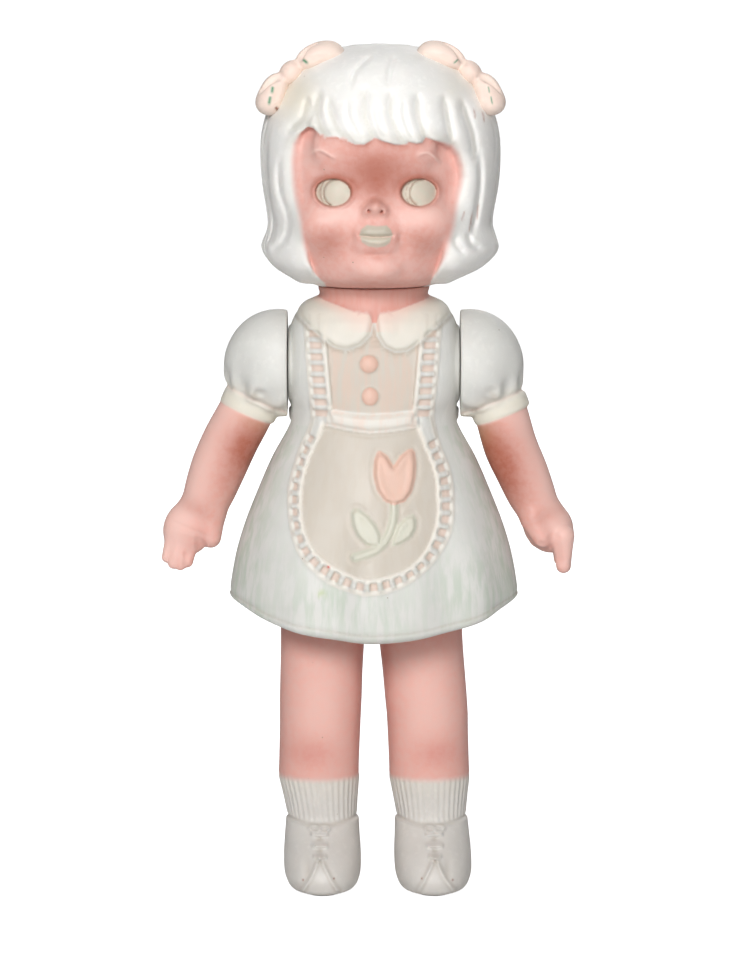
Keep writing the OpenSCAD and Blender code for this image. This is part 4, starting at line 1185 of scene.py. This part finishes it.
def build_doll():
    head = casting("head_cast", sculpt_head(), HEAD, 1, "head", "head")
    paint_head(head)
    head.data.materials.append(bisque("head_bisque_look", "hair", [
        # Among these layers, the grey at the face's edge and at the bangs' tips, the dark lines round the
        # eyes and part of the deep rose are painted shade, and the pale pink is painted highlight.
        ("groove", "groove", 0.55), ("beige", "beige", 0.85), ("edge", "groove", 0.2),
        ("tips", "groove", 0.4), ("scuff", "scuff", 0.6), ("skin", "skin", 1.0), ("pale", "pale", 0.85),
        ("deep", "deep", 0.9, 0.94),
        ("eyes", "eye", 1.0), ("lips", "eye", 1.0), ("upper", "lip", 0.6), ("rims", "brown", 0.75),
    ]))
    bow_look = bisque("bow_bisque_look", "bow", [("pink", "pink", 0.4), ("green", "green", 1.0),
                                                 ("scratch", "brown", 1.0)])
    for name, side in (("left", 1), ("right", -1)):
        middle = HEAD + BOWS
        bow = casting(name + "_bow_cast", sculpt_bow(), middle, side, "head", name + "_hair_bow")
        paint_bow(bow, middle, side)
        bow.data.materials.append(bow_look)

    body = casting("dress_cast", sculpt_body(), TORSO, 1, "torso", "body_and_dress")
    paint_body(body)
    body.data.materials.append(bisque("dress_bisque_look", "dress", [
        # Among these layers, the tone of the hollows, the dark lines at the collar, creases and hem, the
        # darker sides of the skirt and the deep rose on the neck are painted shade.
        ("moss", "moss", 0.8, 0), ("bib", "bib", 0.9), ("hollows", "hollow", 0.8), ("band", "piping", 0.8),
        ("wash", "peach", 0.28, 0), ("piping", "piping", 0.8), ("collar", "beige", 0.55),
        ("blush", "pink", 0.5), ("leaf", "leaf", 1.0), ("peach", "peach", 0.9), ("grime", "grime", 0.6),
        ("neck", "skin", 1.0), ("nape", "deep", 0.4),
        ("line_red", "red", 1.0), ("line_green", "lime", 0.8),
    ], streak=(1.0, 1.0, 0.14)))

    arm_look = bisque("arm_bisque_look", "dress", [
        # The pale pink here is painted highlight, and the deep rose and tan are paint with painted shade.
        ("flush", "beige", 0.9), ("skin", "skin", 1.0), ("pale", "pale", 0.8), ("tan", "tan", 0.8),
        ("deep", "deep", 0.95), ("seam", "pink", 0.5), ("grime", "grime", 0.5),
    ])
    leg_look = bisque("leg_bisque_look", "shoe", [
        # The pale pink here is painted highlight, the rose is a patch of paint with painted shade, and the
        # dark brown-grey is painted shade in the shoe's creases.
        ("flush", "beige", 0.5), ("skin", "skin", 1.0), ("pale", "pale", 0.8), ("deep", "rose", 0.85),
        ("grime", "grime", 0.5), ("pores", "brown", 1.0),
    ])
    for name, side in (("left", 1), ("right", -1)):
        shoulder = joints[name + "_arm_swing"]
        arm = casting(name + "_arm_cast", sculpt_arm(name), shoulder, side, name + "_arm", name + "_arm")
        paint_arm(arm, name, shoulder, side)
        arm.data.materials.append(arm_look)
        hip = joints[name + "_leg_turn"] * (1, 1, 0)
        leg = casting(name + "_leg_cast", sculpt_leg(name), hip, side, name + "_leg", name + "_leg")
        paint_leg(leg, name, hip, side)
        leg.data.materials.append(leg_look)


def finish_fittings():
    """The stringing keeps its CAD shape and takes its own materials."""
    looks = {
        "washer": cut_leather(), "ring": cut_leather(), "elastic": covered_elastic(),
        "plug": turned_wood(), "toggle": turned_wood(), "eye": drawn_wire(), "hook": drawn_wire(),
    }
    for name, node in nodes.items():
        kind = name.split("_")[-1]
        if kind in looks:
            node.data.materials.clear()
            node.data.materials.append(looks[kind])


def bright_to_the_eye(tree, dim, bright):
    """A strength that lights the doll dimly and shows a bright, plain background."""
    seen = tree.nodes.new("ShaderNodeLightPath").outputs["Is Camera Ray"]
    made = tree.nodes.new("ShaderNodeMapRange")
    tree.links.new(seen, made.inputs["Value"])
    made.inputs["To Min"].default_value = dim
    made.inputs["To Max"].default_value = bright
    return made.outputs[0]


def light_and_camera():
    n = Nodes("studio_floor")
    tone = n.noise(3, 2)
    colour = n.mix((0.80, 0.80, 0.80), (0.77, 0.77, 0.77), tone)
    n.shader.inputs["Emission Color"].default_value = (1, 1, 1, 1)
    n.tree.links.new(bright_to_the_eye(n.tree, 0.0, 1.0), n.shader.inputs["Emission Strength"])
    material = n.finish(colour, n.spread(tone, 0, 1, 0.8, 0.9), tone, 0.05, 0.0005)
    bpy.ops.mesh.primitive_circle_add(vertices=96, radius=60, fill_type="NGON")
    floor = bpy.context.object
    floor.name = "floor"
    floor.data.materials.append(material)

    world = bpy.data.worlds.new("studio")
    bpy.context.scene.world = world
    world.use_nodes = True
    sky = world.node_tree.nodes["Background"]
    sky.inputs["Color"].default_value = (1, 1, 1, 1)
    world.node_tree.links.new(bright_to_the_eye(world.node_tree, 0.17, 1.0), sky.inputs["Strength"])

    for name, place, size, power in LAMPS:
        lamp = bpy.data.lights.new(name, "AREA")
        lamp.size, lamp.energy = size, power
        holder = bpy.data.objects.new(name, lamp)
        bpy.context.scene.collection.objects.link(holder)
        holder.location = place
        holder.rotation_mode = "QUATERNION"
        holder.rotation_quaternion = (LAMP_AIM - Vector(place)).to_track_quat("-Z", "Y")

    view = bpy.data.cameras.new("camera")
    view.lens, view.sensor_width = LENS, 36
    camera = bpy.data.objects.new("camera", view)
    bpy.context.scene.collection.objects.link(camera)
    camera.location = CAMERA
    camera.rotation_euler = (math.radians(90) - math.atan2(CAMERA[2] - CAMERA_AIM_Z, -CAMERA[1]), 0, 0)
    bpy.context.scene.camera = camera
    bpy.context.scene.view_settings.view_transform = "Standard"


build_doll()
finish_fittings()
light_and_camera()
